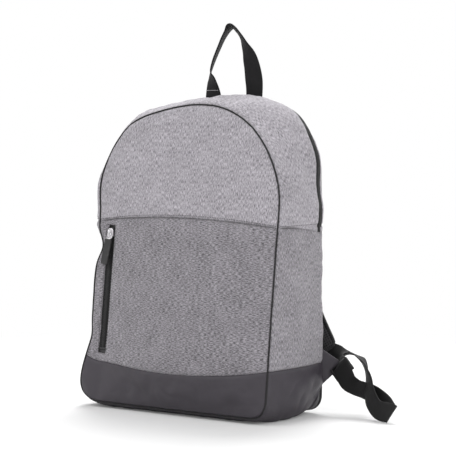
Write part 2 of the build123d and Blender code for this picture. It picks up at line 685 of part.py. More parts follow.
# Shoulder straps with their buckles, and the wing tabs and loops of webbing that they pull on
right_pieces = {
    "strap_pad": strap_pad(),
    "strap_webbing": strap_webbing(),
    "ladder_lock": ladder_lock(),
    "wing_tab": wing_tab(),
}
for piece_name, right_piece in right_pieces.items():
    with BuildPart() as strap_piece:
        add(right_piece)
    strap_piece.part.label = f"{piece_name}_right"
    export_step(strap_piece.part, f"parts/{piece_name}_right.step")
    with BuildPart() as strap_piece:
        add(mirror(right_piece, about=Plane.YZ, mode=Mode.PRIVATE))
    strap_piece.part.label = f"{piece_name}_left"
    export_step(strap_piece.part, f"parts/{piece_name}_left.step")

for side_name, route in (("right", RIGHT_LOOP_ROUTE), ("left", LEFT_LOOP_ROUTE)):
    with BuildPart() as webbing_loop:
        add(ribbon(route, WEBBING_THICKNESS))
    webbing_loop.part.label = f"webbing_loop_{side_name}"
    export_step(webbing_loop.part, f"parts/webbing_loop_{side_name}.step")
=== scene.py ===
"""Looks of an arched daypack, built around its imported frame.

Everything is in metres and in the frame's own axes: X runs across the bag, -Y is its front, +Y its back
and +Z is up. One soft shell is lofted for the whole bag, swollen as cloth and cut into its sewn panels.
Piping, zips, webbing and straps are then laid on it.
"""

import json
import logging
import math
from collections.abc import Callable, Iterable, Sequence
from dataclasses import dataclass, field
from enum import Enum

import bmesh
import bpy
from mathutils import Matrix, Vector, noise
from mathutils.bvhtree import BVHTree
from mathutils.kdtree import KDTree


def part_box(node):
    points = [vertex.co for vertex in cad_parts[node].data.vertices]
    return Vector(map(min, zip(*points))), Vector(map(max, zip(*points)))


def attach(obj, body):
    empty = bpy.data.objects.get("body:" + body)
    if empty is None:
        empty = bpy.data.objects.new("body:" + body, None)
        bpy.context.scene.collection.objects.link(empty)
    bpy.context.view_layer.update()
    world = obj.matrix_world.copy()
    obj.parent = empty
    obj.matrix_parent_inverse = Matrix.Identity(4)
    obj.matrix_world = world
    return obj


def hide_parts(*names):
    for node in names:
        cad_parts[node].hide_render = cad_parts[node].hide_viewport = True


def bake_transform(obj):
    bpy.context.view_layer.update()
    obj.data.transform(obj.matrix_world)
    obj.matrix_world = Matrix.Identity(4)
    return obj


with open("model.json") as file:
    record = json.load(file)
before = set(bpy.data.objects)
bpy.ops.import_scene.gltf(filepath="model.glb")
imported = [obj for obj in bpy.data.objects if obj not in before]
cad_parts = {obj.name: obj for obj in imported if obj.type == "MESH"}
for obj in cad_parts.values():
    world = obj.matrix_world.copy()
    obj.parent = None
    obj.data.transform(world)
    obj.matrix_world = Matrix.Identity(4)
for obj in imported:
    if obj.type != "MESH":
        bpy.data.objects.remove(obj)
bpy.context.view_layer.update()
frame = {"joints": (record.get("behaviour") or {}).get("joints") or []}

MM = 0.001
UV_NAME = "cloth"
ACROSS = Vector((1, 0, 0))
DEPTH = Vector((0, 1, 0))
UP = Vector((0, 0, 1))
WHITE = (1.0, 1.0, 1.0, 1.0)

log = logging.getLogger("daypack")


# --------------------------------------------------------------------------------------------------
# Shader maths
# --------------------------------------------------------------------------------------------------


class Field:
    """One output of a material's nodes, used in sums, products and comparisons."""

    def __init__(self, graph: "Graph", socket: bpy.types.NodeSocket) -> None:
        """Keeps the socket and the graph that it belongs to."""
        self.graph = graph
        self.socket = socket

    def _math(self, operation: str, first: "Field | float", second: "Field | float" = 0.0) -> "Field":
        """One Math node.

        Args:
            operation: the node's operation.
            first: its first value.
            second: its second value.

        Returns:
            The node's result.
        """
        return self.graph.add("ShaderNodeMath", {"operation": operation}, {0: first, 1: second})

    def __add__(self, other: "Field | float") -> "Field":
        """Sum."""
        return self._math("ADD", self, other)

    def __radd__(self, other: float) -> "Field":
        """Sum, with the number first."""
        return self._math("ADD", other, self)

    def __sub__(self, other: "Field | float") -> "Field":
        """Difference."""
        return self._math("SUBTRACT", self, other)

    def __rsub__(self, other: float) -> "Field":
        """Difference, with the number first."""
        return self._math("SUBTRACT", other, self)

    def __mul__(self, other: "Field | float") -> "Field":
        """Product."""
        return self._math("MULTIPLY", self, other)

    def __rmul__(self, other: float) -> "Field":
        """Product, with the number first."""
        return self._math("MULTIPLY", other, self)

    def __truediv__(self, other: "Field | float") -> "Field":
        """Quotient."""
        return self._math("DIVIDE", self, other)

    def __rtruediv__(self, other: float) -> "Field":
        """Quotient, with the number first."""
        return self._math("DIVIDE", other, self)

    def or_more(self, other: "Field | float") -> "Field":
        """The larger of this value and another."""
        return self._math("MAXIMUM", self, other)

    def wave(self, length: float) -> "Field":
        """Sine of this value, from 0 to 1, with one cycle in length."""
        return self._math("SINE", self * (math.tau / length)) * 0.5 + 0.5

    def fraction(self) -> "Field":
        """What is left above the whole number."""
        return self._math("FRACT", self)

    def ramp(self, low: float, high: float) -> "Field":
        """Smooth step of this value.

        Args:
            low: value that gives 0.
            high: value that gives 1.

        Returns:
            The step, from 0 to 1.
        """
        settings = {"interpolation_type": "SMOOTHSTEP"}
        return self.graph.add("ShaderNodeMapRange", settings, {"Value": self, 1: low, 2: high})


class Graph:
    """The nodes of one material or of the surroundings."""

    def __init__(self, name: str, group: str = "materials") -> None:
        """Starts a new material, or another thing with nodes, with that name and no nodes.

        Args:
            name: its name.
            group: the group of the file's data that it belongs to, materials or worlds.
        """
        self.owner = getattr(bpy.data, group).new(name)
        self.owner.use_nodes = True
        self.output = "ShaderNodeOutputWorld" if group == "worlds" else "ShaderNodeOutputMaterial"
        self.nodes = self.owner.node_tree.nodes
        self.links = self.owner.node_tree.links
        self.nodes.clear()

    def node(self, kind: str, settings: dict, sockets: dict) -> bpy.types.Node:
        """Makes one node.

        Args:
            kind: the node's type.
            settings: its properties, which are set first.
            sockets: values or fields for its inputs, by number, name or identifier.

        Returns:
            The node.
        """
        node = self.nodes.new(kind)
        for name, value in settings.items():
            setattr(node, name, value)
        for key, value in sockets.items():
            socket = self._named(node.inputs, key)
            if isinstance(value, Field):
                self.links.new(value.socket, socket)
            else:
                socket.default_value = value
        return node

    def add(self, kind: str, settings: dict, sockets: dict, output: int | str = 0) -> Field:
        """Makes one node and gives the wanted one of its outputs, by number, name or identifier."""
        return Field(self, self._named(self.node(kind, settings, sockets).outputs, output))

    @staticmethod
    def _named(sockets: Sequence[bpy.types.NodeSocket], key: int | str) -> bpy.types.NodeSocket:
        """The socket with that number, identifier or name.

        Args:
            sockets: a node's inputs or outputs.
            key: its number, identifier or name.

        Returns:
            The socket.
        """
        if isinstance(key, int):
            return sockets[key]
        return next(socket for socket in sockets if key in (socket.identifier, socket.name))

    def mix(self, share: Field | float, first: Field | tuple, second: Field | tuple) -> Field:
        """Mix of two colours.

        Args:
            share: share of the second colour.
            first: colour where share is 0.
            second: colour where share is 1.

        Returns:
            The mixed colour.
        """
        sockets = {"Factor_Float": share, "A_Color": first, "B_Color": second}
        return self.add("ShaderNodeMix", {"data_type": "RGBA"}, sockets, "Result_Color")

    def cloth_mm(self) -> Field:
        """Place on the cloth in millimetres: X across the grain and Y along it."""
        place = self.add("ShaderNodeUVMap", {"uv_map": UV_NAME}, {})
        return self.stretched(place, (1 / MM, 1 / MM, 1 / MM))

    def object_mm(self) -> Field:
        """Place in the piece's own space, in millimetres."""
        place = self.add("ShaderNodeTexCoord", {}, {}, "Object")
        return self.stretched(place, (1 / MM, 1 / MM, 1 / MM))

    def stretched(self, place: Field, factors: tuple[float, float, float]) -> Field:
        """A vector with each of its parts multiplied by a factor."""
        return self.add("ShaderNodeVectorMath", {"operation": "MULTIPLY"}, {0: place, 1: factors})

    def part(self, place: Field, axis: str) -> Field:
        """One part of a vector, named X, Y or Z."""
        return self.add("ShaderNodeSeparateXYZ", {}, {0: place}, axis)

    def speckle(self, place: Field, factors: tuple[float, float, float], detail: float = 2.0) -> Field:
        """Noise from 0 to 1.

        Args:
            place: where it is read.
            factors: cycles for each unit of place.
            detail: how many finer layers it has.

        Returns:
            The noise.
        """
        sockets = {"Vector": self.stretched(place, factors), "Scale": 1.0, "Detail": detail}
        return self.add("ShaderNodeTexNoise", {}, sockets, "Fac")

    def finish(self, shader: Field) -> bpy.types.ID:
        """Puts a shader on the surface and gives the material or the surroundings."""
        self.node(self.output, {}, {"Surface": shader})
        return self.owner

    def surface(self, sockets: dict, height: Field | None = None, depth: float = 0.0) -> bpy.types.Material:
        """The material, as one coated or bare surface.

        Args:
            sockets: its values and fields.
            height: relief from 0 to 1, if it has any.
            depth: what a height of 1 means, in metres.

        Returns:
            The material.
        """
        values = dict(sockets)
        if height is not None:
            relief = {"Strength": 1.0, "Distance": depth, "Height": height}
            values["Normal"] = self.add("ShaderNodeBump", {}, relief)
        return self.finish(self.add("ShaderNodeBsdfPrincipled", {}, values))


# --------------------------------------------------------------------------------------------------
# Finishes
# --------------------------------------------------------------------------------------------------


def grey(value: float, warm: float = 0.0) -> tuple[float, float, float, float]:
    """Linear grey as a colour, a little redder and bluer than green where warm is above 0."""
    return (value * (1 + warm), value, value * (1 + 1.6 * warm), 1.0)


@dataclass(frozen=True)
class HeatherCloth:
    """Melange polyester: pale and dark fibres in short streaks along the grain, in a fine plain weave."""

    name: str
    dark: float
    pale: float
    warm: float = 0.055
    streak: float = 0.75  # width of a streak, mm
    run: float = 4.6  # length of a streak, mm
    grain: float = 1.3  # size of the pale and dark specks, mm
    thread: float = 0.62  # pitch of the weave, mm
    roughness: float = 0.88
    relief: float = 0.32 * MM

    def material(self) -> bpy.types.Material:
        """The cloth's material.

        Returns:
            The material.
        """
        graph = Graph(self.name)
        place = graph.cloth_mm()
        knops = graph.speckle(place, (1 / self.grain, 0.45 / self.grain, 1.0), 1.0)
        streaks = graph.speckle(place, (1 / self.streak, 1 / self.run, 1.0), 3.0)
        fine = graph.speckle(place, (2.6 / self.streak, 2.2 / self.run, 1.0), 1.0)
        clouds = graph.speckle(place, (0.035, 0.035, 1.0), 2.0)
        tone = (streaks * 0.6 + fine * 0.24 + knops * 0.16 + clouds * 0.08 - 0.04).ramp(0.35, 0.67)
        across = graph.part(place, "X").wave(self.thread)
        along = graph.part(place, "Y").wave(self.thread * 1.15)
        weave = across * along
        colour = graph.mix(tone, grey(self.dark, self.warm), grey(self.pale, self.warm))
        shaded = graph.mix(weave * 0.22, colour, grey(self.dark * 0.55, self.warm))
        height = weave * 0.45 + fine * 0.35 + streaks * 0.2
        values = {
            "Base Color": shaded,
            "Roughness": (fine * 0.12) + (self.roughness - 0.06),
            "Sheen Weight": 0.25,
            "Sheen Roughness": 0.5,
            "Specular IOR Level": 0.25,
        }
        return graph.surface(values, height, self.relief)


@dataclass(frozen=True)
class CoatedCloth:
    """Close weave under a smooth coating, with a soft sheen and faint scuffs."""

    name: str
    shade: float
    warm: float = 0.15
    thread: float = 0.75
    roughness: float = 0.5
    relief: float = 0.10 * MM

    def material(self) -> bpy.types.Material:
        """The coated cloth's material.

        Returns:
            The material.
        """
        graph = Graph(self.name)
        place = graph.cloth_mm()
        ribs = graph.part(place, "X").wave(self.thread) * graph.part(place, "Y").wave(self.thread)
        clouds = graph.speckle(place, (0.03, 0.05, 1.0), 3.0)
        scuffs = graph.speckle(place, (0.9, 0.05, 1.0), 3.0).ramp(0.62, 0.8)
        dust = graph.speckle(place, (1.7, 1.7, 1.0), 2.0)
        tone = (clouds * 0.5 + dust * 0.3 + scuffs * 0.22 + ribs * 0.12).ramp(0.2, 0.95)
        colour = graph.mix(tone, grey(self.shade * 0.8, self.warm), grey(self.shade * 1.3, self.warm))
        values = {
            "Base Color": colour,
            "Roughness": (clouds * 0.16) + (scuffs * 0.08) + (self.roughness - 0.1),
            "Specular IOR Level": 0.4,
        }
        return graph.surface(values, ribs * 0.7 + dust * 0.3, self.relief)


class Weave(Enum):
    """How a webbing or narrow tape is woven."""

    RIBBED = "ribbed"
    HERRINGBONE = "herringbone"


@dataclass(frozen=True)
class NarrowCloth:
    """Webbing, tape or binding, woven from thick shiny yarns."""

    name: str
    shade: float
    weave: Weave = Weave.RIBBED
    yarn: float = 1.1  # pitch of the yarns across, mm
    pick: float = 1.4  # pitch along, mm
    roughness: float = 0.62
    gloss: float = 0.22  # how much it mirrors, 0.5 for plain plastic
    relief: float = 0.28 * MM

    def material(self) -> bpy.types.Material:
        """The webbing's material.

        Returns:
            The material.
        """
        graph = Graph(self.name)
        place = graph.cloth_mm()
        across, along = graph.part(place, "X"), graph.part(place, "Y")
        if self.weave is Weave.HERRINGBONE:
            side = (across / (self.yarn * 8)).fraction().ramp(0.45, 0.55)
            slant = across * (side * 2.0 - 1.0) + along
            yarns = slant.wave(self.pick)
        else:
            yarns = across.wave(self.yarn) * 0.6 + along.wave(self.pick) * 0.4
        fuzz = graph.speckle(place, (2.2, 0.5, 1.0), 2.0)
        worn = graph.speckle(place, (0.08, 0.05, 1.0), 2.0)
        tone = (yarns * 0.5 + fuzz * 0.35 + worn * 0.25).ramp(0.15, 0.95)
        values = {
            "Base Color": graph.mix(tone, grey(self.shade * 0.55, 0.03), grey(self.shade * 1.7, 0.03)),
            "Roughness": (fuzz * 0.2) + (self.roughness - 0.1),
            "Sheen Weight": 0.05,
            "Sheen Roughness": 0.45,
            "Specular IOR Level": self.gloss,
        }
        return graph.surface(values, yarns * 0.75 + fuzz * 0.25, self.relief)


@dataclass(frozen=True)
class SpacerMesh:
    """Open air mesh of the back and the inner face of the straps."""

    name: str
    shade: float
    hole: float = 3.2  # pitch of the holes, mm
    scatter: float = 0.12  # how irregular they are, from 0 to 1
    relief: float = 0.5 * MM

    def material(self) -> bpy.types.Material:
        """The mesh's material.

        Returns:
            The material.
        """
        graph = Graph(self.name)
        place = graph.cloth_mm()
        holes = graph.stretched(place, (1 / self.hole, 1 / self.hole, 1.0))
        sockets = {"Vector": holes, "Scale": 1.0, "Randomness": self.scatter}
        cells = graph.add("ShaderNodeTexVoronoi", {}, sockets, "Distance")
        wall = cells.ramp(0.18, 0.42)
        fuzz = graph.speckle(place, (1.5, 1.5, 1.0), 2.0)
        # The holes are painted dark, as painted shade inside them, against the lighter walls.
        colour = graph.mix(wall, grey(self.shade * 0.3, 0.03), grey(self.shade * 1.2, 0.03))
        values = {
            "Base Color": graph.mix(fuzz * 0.4, colour, grey(self.shade * 0.7, 0.03)),
            "Roughness": (fuzz * 0.15) + 0.78,
            "Specular IOR Level": 0.25,
        }
        return graph.surface(values, wall * 0.8 + fuzz * 0.2, self.relief)


@dataclass(frozen=True)
class PlainLining:
    """Thin plain-woven lining."""

    name: str
    shade: float
    relief: float = 0.15 * MM

    def material(self) -> bpy.types.Material:
        """The lining's material.

        Returns:
            The material.
        """
        graph = Graph(self.name)
        place = graph.object_mm()
        # Broad lighter and darker patches named folds: painted shade of loose folds in the lining.
        folds = graph.speckle(place, (0.02, 0.02, 0.05), 3.0)
        slubs = graph.speckle(place, (0.5, 0.5, 2.4), 2.0)
        tone = folds * 0.6 + slubs * 0.4
        colour = graph.mix(tone, grey(self.shade * 0.7, 0.02), grey(self.shade * 1.3, 0.02))
        values = {"Base Color": colour, "Roughness": (slubs * 0.15) + 0.6, "Specular IOR Level": 0.3}
        return graph.surface(values, slubs * 0.6 + folds * 0.4, self.relief)


@dataclass(frozen=True)
class CastMetal:
    """Plated die-cast metal with light handling marks."""

    name: str
    shade: float
    roughness: float = 0.2
    relief: float = 0.03 * MM

    def material(self) -> bpy.types.Material:
        """The metal's material.

        Returns:
            The material.
        """
        graph = Graph(self.name)
        place = graph.object_mm()
        marks = graph.speckle(place, (0.6, 2.5, 0.6), 3.0)
        wear = marks.ramp(0.4, 0.75)
        values = {
            "Base Color": graph.mix(wear, grey(self.shade, 0.02), grey(self.shade * 0.82, 0.02)),
            "Metallic": 1.0,
            "Roughness": (marks * 0.18) + (self.roughness - 0.05),
        }
        return graph.surface(values, marks, self.relief)


@dataclass(frozen=True)
class MouldedPolymer:
    """Moulded rubber, nylon or acetal with a fine spark-eroded texture."""

    name: str
    shade: float
    roughness: float
    grain: float = 0.35  # mm
    relief: float = 0.03 * MM

    def material(self) -> bpy.types.Material:
        """The polymer's material.

        Returns:
            The material.
        """
        graph = Graph(self.name)
        place = graph.object_mm()
        pits = graph.speckle(place, (1 / self.grain,) * 3, 2.0)
        rubbed = graph.speckle(place, (0.12, 0.12, 0.12), 3.0).ramp(0.45, 0.75)
        values = {
            "Base Color": graph.mix(rubbed, grey(self.shade, 0.02), grey(self.shade * 1.7, 0.02)),
            "Roughness": (rubbed * -0.08) + (pits * 0.1) + self.roughness,
            "Specular IOR Level": 0.45,
        }
        return graph.surface(values, pits, self.relief)


@dataclass(frozen=True)
class Thread:
    """Twisted sewing thread."""

    name: str
    shade: float
    relief: float = 0.05 * MM

    def material(self) -> bpy.types.Material:
        """The thread's material.

        Returns:
            The material.
        """
        graph = Graph(self.name)
        place = graph.object_mm()
        twist = graph.speckle(place, (2.5, 2.5, 2.5), 2.0)
        colour = graph.mix(twist, grey(self.shade * 0.7, 0.02), grey(self.shade * 1.25, 0.02))
        values = {"Base Color": colour, "Roughness": (twist * 0.2) + 0.55, "Sheen Weight": 0.2}
        return graph.surface(values, twist, self.relief)


class Finishes:
    """Every finish of the bag, made once."""

    def __init__(self) -> None:
        """Makes the materials."""
        self.upper = HeatherCloth("heather_upper", 0.15, 0.66).material()
        self.pocket = HeatherCloth("heather_pocket", 0.065, 0.47).material()
        self.gusset = HeatherCloth("heather_gusset", 0.14, 0.63).material()
        self.side = HeatherCloth("heather_side", 0.085, 0.49).material()
        self.coated = CoatedCloth("coated_base", 0.042).material()
        self.tab = CoatedCloth("coated_tab", 0.04, thread=1.6, relief=0.25 * MM).material()
        self.piping = NarrowCloth("black_piping", 0.018, yarn=0.8, pick=0.9).material()
        self.webbing = NarrowCloth("black_webbing", 0.0075).material()
        # The handle gets a lighter copy of the black webbing: painted light on the handle.
        self.handle = NarrowCloth("handle_webbing_cloth", 0.013, gloss=0.1, relief=0.2 * MM).material()
        self.binding = NarrowCloth("strap_binding", 0.03, Weave.HERRINGBONE).material()
        self.pad = CoatedCloth("strap_padding", 0.022, thread=1.3, roughness=0.75, relief=0.2 * MM).material()
        self.tape = NarrowCloth("zip_tape", 0.007, Weave.HERRINGBONE, yarn=0.7, pick=0.8).material()
        self.coil = MouldedPolymer("zip_coil", 0.010, 0.42).material()
        self.metal = CastMetal("slider_metal", 0.72).material()
        self.rubber = MouldedPolymer("pull_rubber", 0.025, 0.55).material()
        self.buckle = MouldedPolymer("buckle_plastic", 0.012, 0.34).material()
        self.lining = PlainLining("lining", 0.2).material()
        self.mesh = SpacerMesh("back_mesh", 0.05).material()
        # The seam thread is darker than the cloth: partly the stitches' own dark grey, partly painted shade
        # for the dark line along the seams.
        self.thread = Thread("grey_thread", 0.05).material()
        self.black_thread = Thread("black_thread", 0.035).material()
        self.pale_thread = Thread("pale_thread", 0.5).material()


# --------------------------------------------------------------------------------------------------
# Meshes
# --------------------------------------------------------------------------------------------------


def joint_place(name: str) -> Sequence[float]:
    """Where a joint of the frame is."""
    return next(joint for joint in frame["joints"] if joint["name"] == name)["pos_m"]


def ease(low: float, high: float, value: float) -> float:
    """Smooth step.

    Args:
        low: value that gives 0.
        high: value that gives 1.
        value: where it is read.

    Returns:
        The step, from 0 to 1.
    """
    share = min(1.0, max(0.0, (value - low) / (high - low)))
    return share * share * (3 - 2 * share)


def between(places: Sequence[float], values: Sequence[float], place: float) -> float:
    """Value at a place, read smoothly between the nearest two of a few given ones.

    Args:
        places: rising places.
        values: the value at each of them.
        place: where it is read.

    Returns:
        The value.
    """
    for index in range(len(places) - 1):
        if place <= places[index + 1]:
            share = ease(places[index], places[index + 1], place)
            return values[index] * (1 - share) + values[index + 1] * share
    return values[-1]


def lengths(line: Sequence[Vector]) -> list[float]:
    """Length of a line up to each of its points.

    Args:
        line: the line.

    Returns:
        One length for each point, from 0.
    """
    steps = [0.0]
    for first, second in zip(line, line[1:]):
        steps.append(steps[-1] + (second - first).length)
    return steps


def heading(line: Sequence[Vector], index: int) -> Vector:
    """Direction of a line at one of its points, from the point before it to the point after it."""
    return (line[min(index + 1, len(line) - 1)] - line[max(index - 1, 0)]).normalized()


def eased(line: Sequence[Vector]) -> list[Vector]:
    """An open line with its inner points drawn towards their neighbours."""
    return [line[0], *[(a + b * 2 + c) / 4 for a, b, c in zip(line, line[1:], line[2:])], line[-1]]


def off_arch(line: Sequence[Vector], index: int) -> Vector:
    """Direction out of the arch at one of the points of its outline."""
    ahead = line[min(index + 1, len(line) - 1)] - line[max(index - 1, 0)]
    return Vector((-ahead.z, 0, ahead.x)).normalized()


def resample(points: Sequence[Vector], shares: Sequence[float]) -> list[Vector]:
    """Points at shares of a polyline's length.

    Args:
        points: the polyline.
        shares: rising shares, from 0 to 1.

    Returns:
        One point for each share.
    """
    steps = lengths(points)
    found = []
    for share in shares:
        wanted = share * steps[-1]
        index = next((i for i in range(1, len(steps)) if steps[i] >= wanted - 1e-12), len(steps) - 1)
        span = max(steps[index] - steps[index - 1], 1e-12)
        found.append(points[index - 1].lerp(points[index], min(1.0, (wanted - steps[index - 1]) / span)))
    return found


def spline(points: Sequence[Vector], per_span: int, closed: bool = False) -> list[Vector]:
    """Smooth line through points.

    Args:
        points: what it goes through.
        per_span: how many steps it takes from one to the next.
        closed: whether it comes back to the first.

    Returns:
        Points of the line.
    """
    count = len(points)

    def at(index: int) -> Vector:
        """A point, or its neighbour past an open end."""
        return points[index % count] if closed else points[min(max(index, 0), count - 1)]

    line = []
    for index in range(count if closed else count - 1):
        before, start, end, after = (at(index + k) for k in (-1, 0, 1, 2))
        for step in range(per_span):
            t = step / per_span
            line.append(
                0.5 * (2 * start + (end - before) * t + (2 * before - 5 * start + 4 * end - after) * t**2
                       + (3 * start - before - 3 * end + after) * t**3)
            )
    if not closed:
        line.append(points[-1].copy())
    return line


@dataclass
class Draft:
    """Points, faces and cloth places of a mesh in the making."""

    points: list[Vector] = field(default_factory=list)
    faces: list[tuple[int, ...]] = field(default_factory=list)
    places: list[tuple[tuple[float, float], ...]] = field(default_factory=list)
    panels: list[int] = field(default_factory=list)

    def add_face(self, corners: Sequence[int], places: Sequence[tuple[float, float]], panel: int = 0) -> None:
        """Adds one face with the cloth place of each corner and the number of its panel.

        Args:
            corners: the numbers of its points.
            places: the cloth place of each corner.
            panel: the number of its panel.
        """
        self.faces.append(tuple(corners))
        self.places.append(tuple(places))
        self.panels.append(panel)

    def add_grid(
        self,
        rows: Sequence[Sequence[Vector]],
        places: Sequence[Sequence[tuple[float, float]]],
        panel: Callable[[int, int], int] | None = None,
        flip: bool = False,
        around: bool = False,
    ) -> None:
        """Adds a grid of faces.

        Args:
            rows: its points, row by row.
            places: the cloth place of each point. A row that goes around has one place more.
            panel: gives the panel of the face at a row and column.
            flip: whether the faces look the other way.
            around: whether the last column joins the first.
        """
        start, width = len(self.points), len(rows[0])
        for row in rows:
            self.points.extend(row)
        for r in range(len(rows) - 1):
            for c in range(width if around else width - 1):
                after = (c + 1) % width
                near, far = start + r * width, start + (r + 1) * width
                corners = [near + c, near + after, far + after, far + c]
                spots = [places[r][c], places[r][c + 1], places[r + 1][c + 1], places[r + 1][c]]
                if flip:
                    corners.reverse()
                    spots.reverse()
                self.add_face(corners, spots, panel(r, c) if panel else 0)

    def add_draft(self, other: "Draft") -> None:
        """Adds another draft's points and faces.

        Args:
            other: what is added.
        """
        start = len(self.points)
        self.points.extend(other.points)
        self.faces.extend(tuple(start + i for i in corners) for corners in other.faces)
        self.places.extend(other.places)
        self.panels.extend(other.panels)

    def to_object(self, name: str, *materials: bpy.types.Material) -> bpy.types.Object:
        """Makes the object.

        Args:
            name: its name.
            materials: its materials. With more than one, a face's panel is its material's number.

        Returns:
            The object, smooth shaded, in the scene.
        """
        mesh = bpy.data.meshes.new(name)
        mesh.from_pydata([tuple(p) for p in self.points], [], self.faces)
        layer = mesh.uv_layers.new(name=UV_NAME)
        flat = [value for spots in self.places for spot in spots for value in spot]
        layer.data.foreach_set("uv", flat)
        for material in materials:
            mesh.materials.append(material)
        mesh.polygons.foreach_set("use_smooth", [True] * len(self.faces))
        if len(materials) != 1:
            mesh.polygons.foreach_set("material_index", self.panels)
        mesh.update()
        made = bpy.data.objects.new(name, mesh)
        bpy.context.scene.collection.objects.link(made)
        return made


def reworked(obj: bpy.types.Object, change: Callable[[bmesh.types.BMesh], object]) -> None:
    """Changes an object's mesh by one operation on its points and faces.

    Args:
        obj: the object.
        change: the operation.
    """
    work = bmesh.new()
    work.from_mesh(obj.data)
    change(work)
    work.to_mesh(obj.data)
    work.free()


def weld(obj: bpy.types.Object, distance: float = 0.02 * MM) -> None:
    """Joins points of an object's mesh that lie together."""
    reworked(obj, lambda work: bmesh.ops.remove_doubles(work, verts=work.verts, dist=distance))


def turn_faces_out(obj: bpy.types.Object) -> None:
    """Turns all the faces of a closed mesh outwards."""
    reworked(obj, lambda work: bmesh.ops.recalc_face_normals(work, faces=work.faces))


def applied(obj: bpy.types.Object) -> bpy.types.Object:
    """Turns an object's modifiers into its mesh.

    Args:
        obj: the object.

    Returns:
        The same object.
    """
    graph = bpy.context.evaluated_depsgraph_get()
    mesh = bpy.data.meshes.new_from_object(obj.evaluated_get(graph), depsgraph=graph)
    obj.modifiers.clear()
    old, obj.data = obj.data, mesh
    name = old.name
    bpy.data.meshes.remove(old)
    mesh.name = name
    return obj


def subdivided(obj: bpy.types.Object, levels: int) -> bpy.types.Object:
    """Subdivides an object's surface smoothly and applies it.

    Args:
        obj: the object.
        levels: how many times it is subdivided.

    Returns:
        The same object.
    """
    modifier = obj.modifiers.new("subdivision", "SUBSURF")
    modifier.levels = modifier.render_levels = levels
    modifier.uv_smooth = "NONE"
    modifier.use_limit_surface = False
    return applied(obj)


def thickened(obj: bpy.types.Object, thickness: float, offset: float = -1.0) -> bpy.types.Object:
    """Gives a sheet its thickness.

    Args:
        obj: the sheet.
        thickness: what it gets.
        offset: where its own face lies in that: -1 for the outer side, 0 for the middle.

    Returns:
        The same object.
    """
    modifier = obj.modifiers.new("thickness", "SOLIDIFY")
    modifier.thickness = thickness
    modifier.offset = offset
    modifier.use_even_offset = False
    modifier.use_rim = True
    return applied(obj)


def swollen(
    obj: bpy.types.Object,
    pins: Iterable[int],
    pressure: float,
    cap: float,
    slack: float = 0.0,
    frames: int = 18,
) -> None:
    """Swells a closed mesh as cloth under air pressure, and keeps the result.

    Args:
        obj: the mesh.
        pins: the points that are held.
        pressure: the air pressure.
        cap: how far a point may move, in metres.
        slack: share by which the cloth is cut larger than its seams.
        frames: how long it settles.
    """
    group = obj.vertex_groups.new(name="pins")
    group.add(list(pins), 1.0, "REPLACE")
    modifier = obj.modifiers.new("swelling", "CLOTH")
    cloth = modifier.settings
    cloth.quality = 6
    cloth.mass = 0.25
    cloth.tension_stiffness = cloth.compression_stiffness = 18
    cloth.shear_stiffness = 8
    cloth.bending_stiffness = 1.5
    cloth.air_damping = 4
    cloth.vertex_group_mass = group.name
    cloth.shrink_min = -slack
    cloth.use_pressure = True
    cloth.uniform_pressure_force = pressure
    cloth.effector_weights.gravity = 0
    modifier.collision_settings.use_collision = False
    modifier.collision_settings.use_self_collision = False
    modifier.point_cache.frame_start = 1
    modifier.point_cache.frame_end = frames
    scene = bpy.context.scene
    for frame_number in range(1, frames + 1):
        scene.frame_set(frame_number)
    graph = bpy.context.evaluated_depsgraph_get()
    settled = [v.co.copy() for v in obj.evaluated_get(graph).data.vertices]
    obj.modifiers.remove(modifier)
    obj.vertex_groups.remove(group)
    scene.frame_set(1)
    for vertex, place in zip(obj.data.vertices, settled):
        move = place - vertex.co
        length = move.length
        if length > 1e-9:
            vertex.co += move * (cap * math.tanh(length / cap) / length)
    obj.data.update()


def parted(
    obj: bpy.types.Object, wanted: set[int], name: str, material: bpy.types.Material
) -> bpy.types.Object:
    """Copies the faces of some panels to a new object.

    Args:
        obj: the whole mesh, whose material numbers are its panels.
        wanted: the panels to take.
        name: the new object's name.
        material: its only material.

    Returns:
        The new object.
    """
    work = bmesh.new()
    work.from_mesh(obj.data)
    rest = [f for f in work.faces if f.material_index not in wanted]
    bmesh.ops.delete(work, geom=rest, context="FACES")
    for face in work.faces:
        face.material_index = 0
        face.smooth = True
    mesh = bpy.data.meshes.new(name)
    work.to_mesh(mesh)
    work.free()
    mesh.materials.append(material)
    piece = bpy.data.objects.new(name, mesh)
    bpy.context.scene.collection.objects.link(piece)
    return piece


def tube(
    line: Sequence[Vector], radius: Callable[[float], float], sides: int = 10, closed: bool = False
) -> Draft:
    """Round cord along a line.

    Args:
        line: its middle.
        radius: its radius at a share of its length.
        sides: how many sides it has.
        closed: whether its end meets its start.

    Returns:
        Its draft, with the length along Y of the cloth.
    """
    draft, rows, places, run = Draft(), [], [], 0.0
    count = len(line)
    normal = None
    for index, point in enumerate(line):
        before = line[index - 1] if index or closed else line[0]
        after = line[(index + 1) % count] if closed or index < count - 1 else line[-1]
        along = (after - before).normalized()
        if normal is None:
            normal = along.orthogonal().normalized()
        normal = (normal - along * normal.dot(along)).normalized()
        side = along.cross(normal)
        if index:
            run += (point - line[index - 1]).length
        thick = radius(index / (count - 1))
        ring, spots = [], []
        for k in range(sides + 1):
            angle = math.tau * k / sides
            spots.append((k / sides * math.tau * thick, run))
            if k < sides:
                ring.append(point + (normal * math.cos(angle) + side * math.sin(angle)) * thick)
        rows.append(ring)
        places.append(spots)
    draft.add_grid(rows, places, around=True)
    if not closed:
        for ring_start, order in ((0, -1), ((count - 1) * sides, 1)):
            corners = [ring_start + k for k in range(sides)][::order]
            draft.add_face(corners, [places[0][0]] * sides)
    return draft


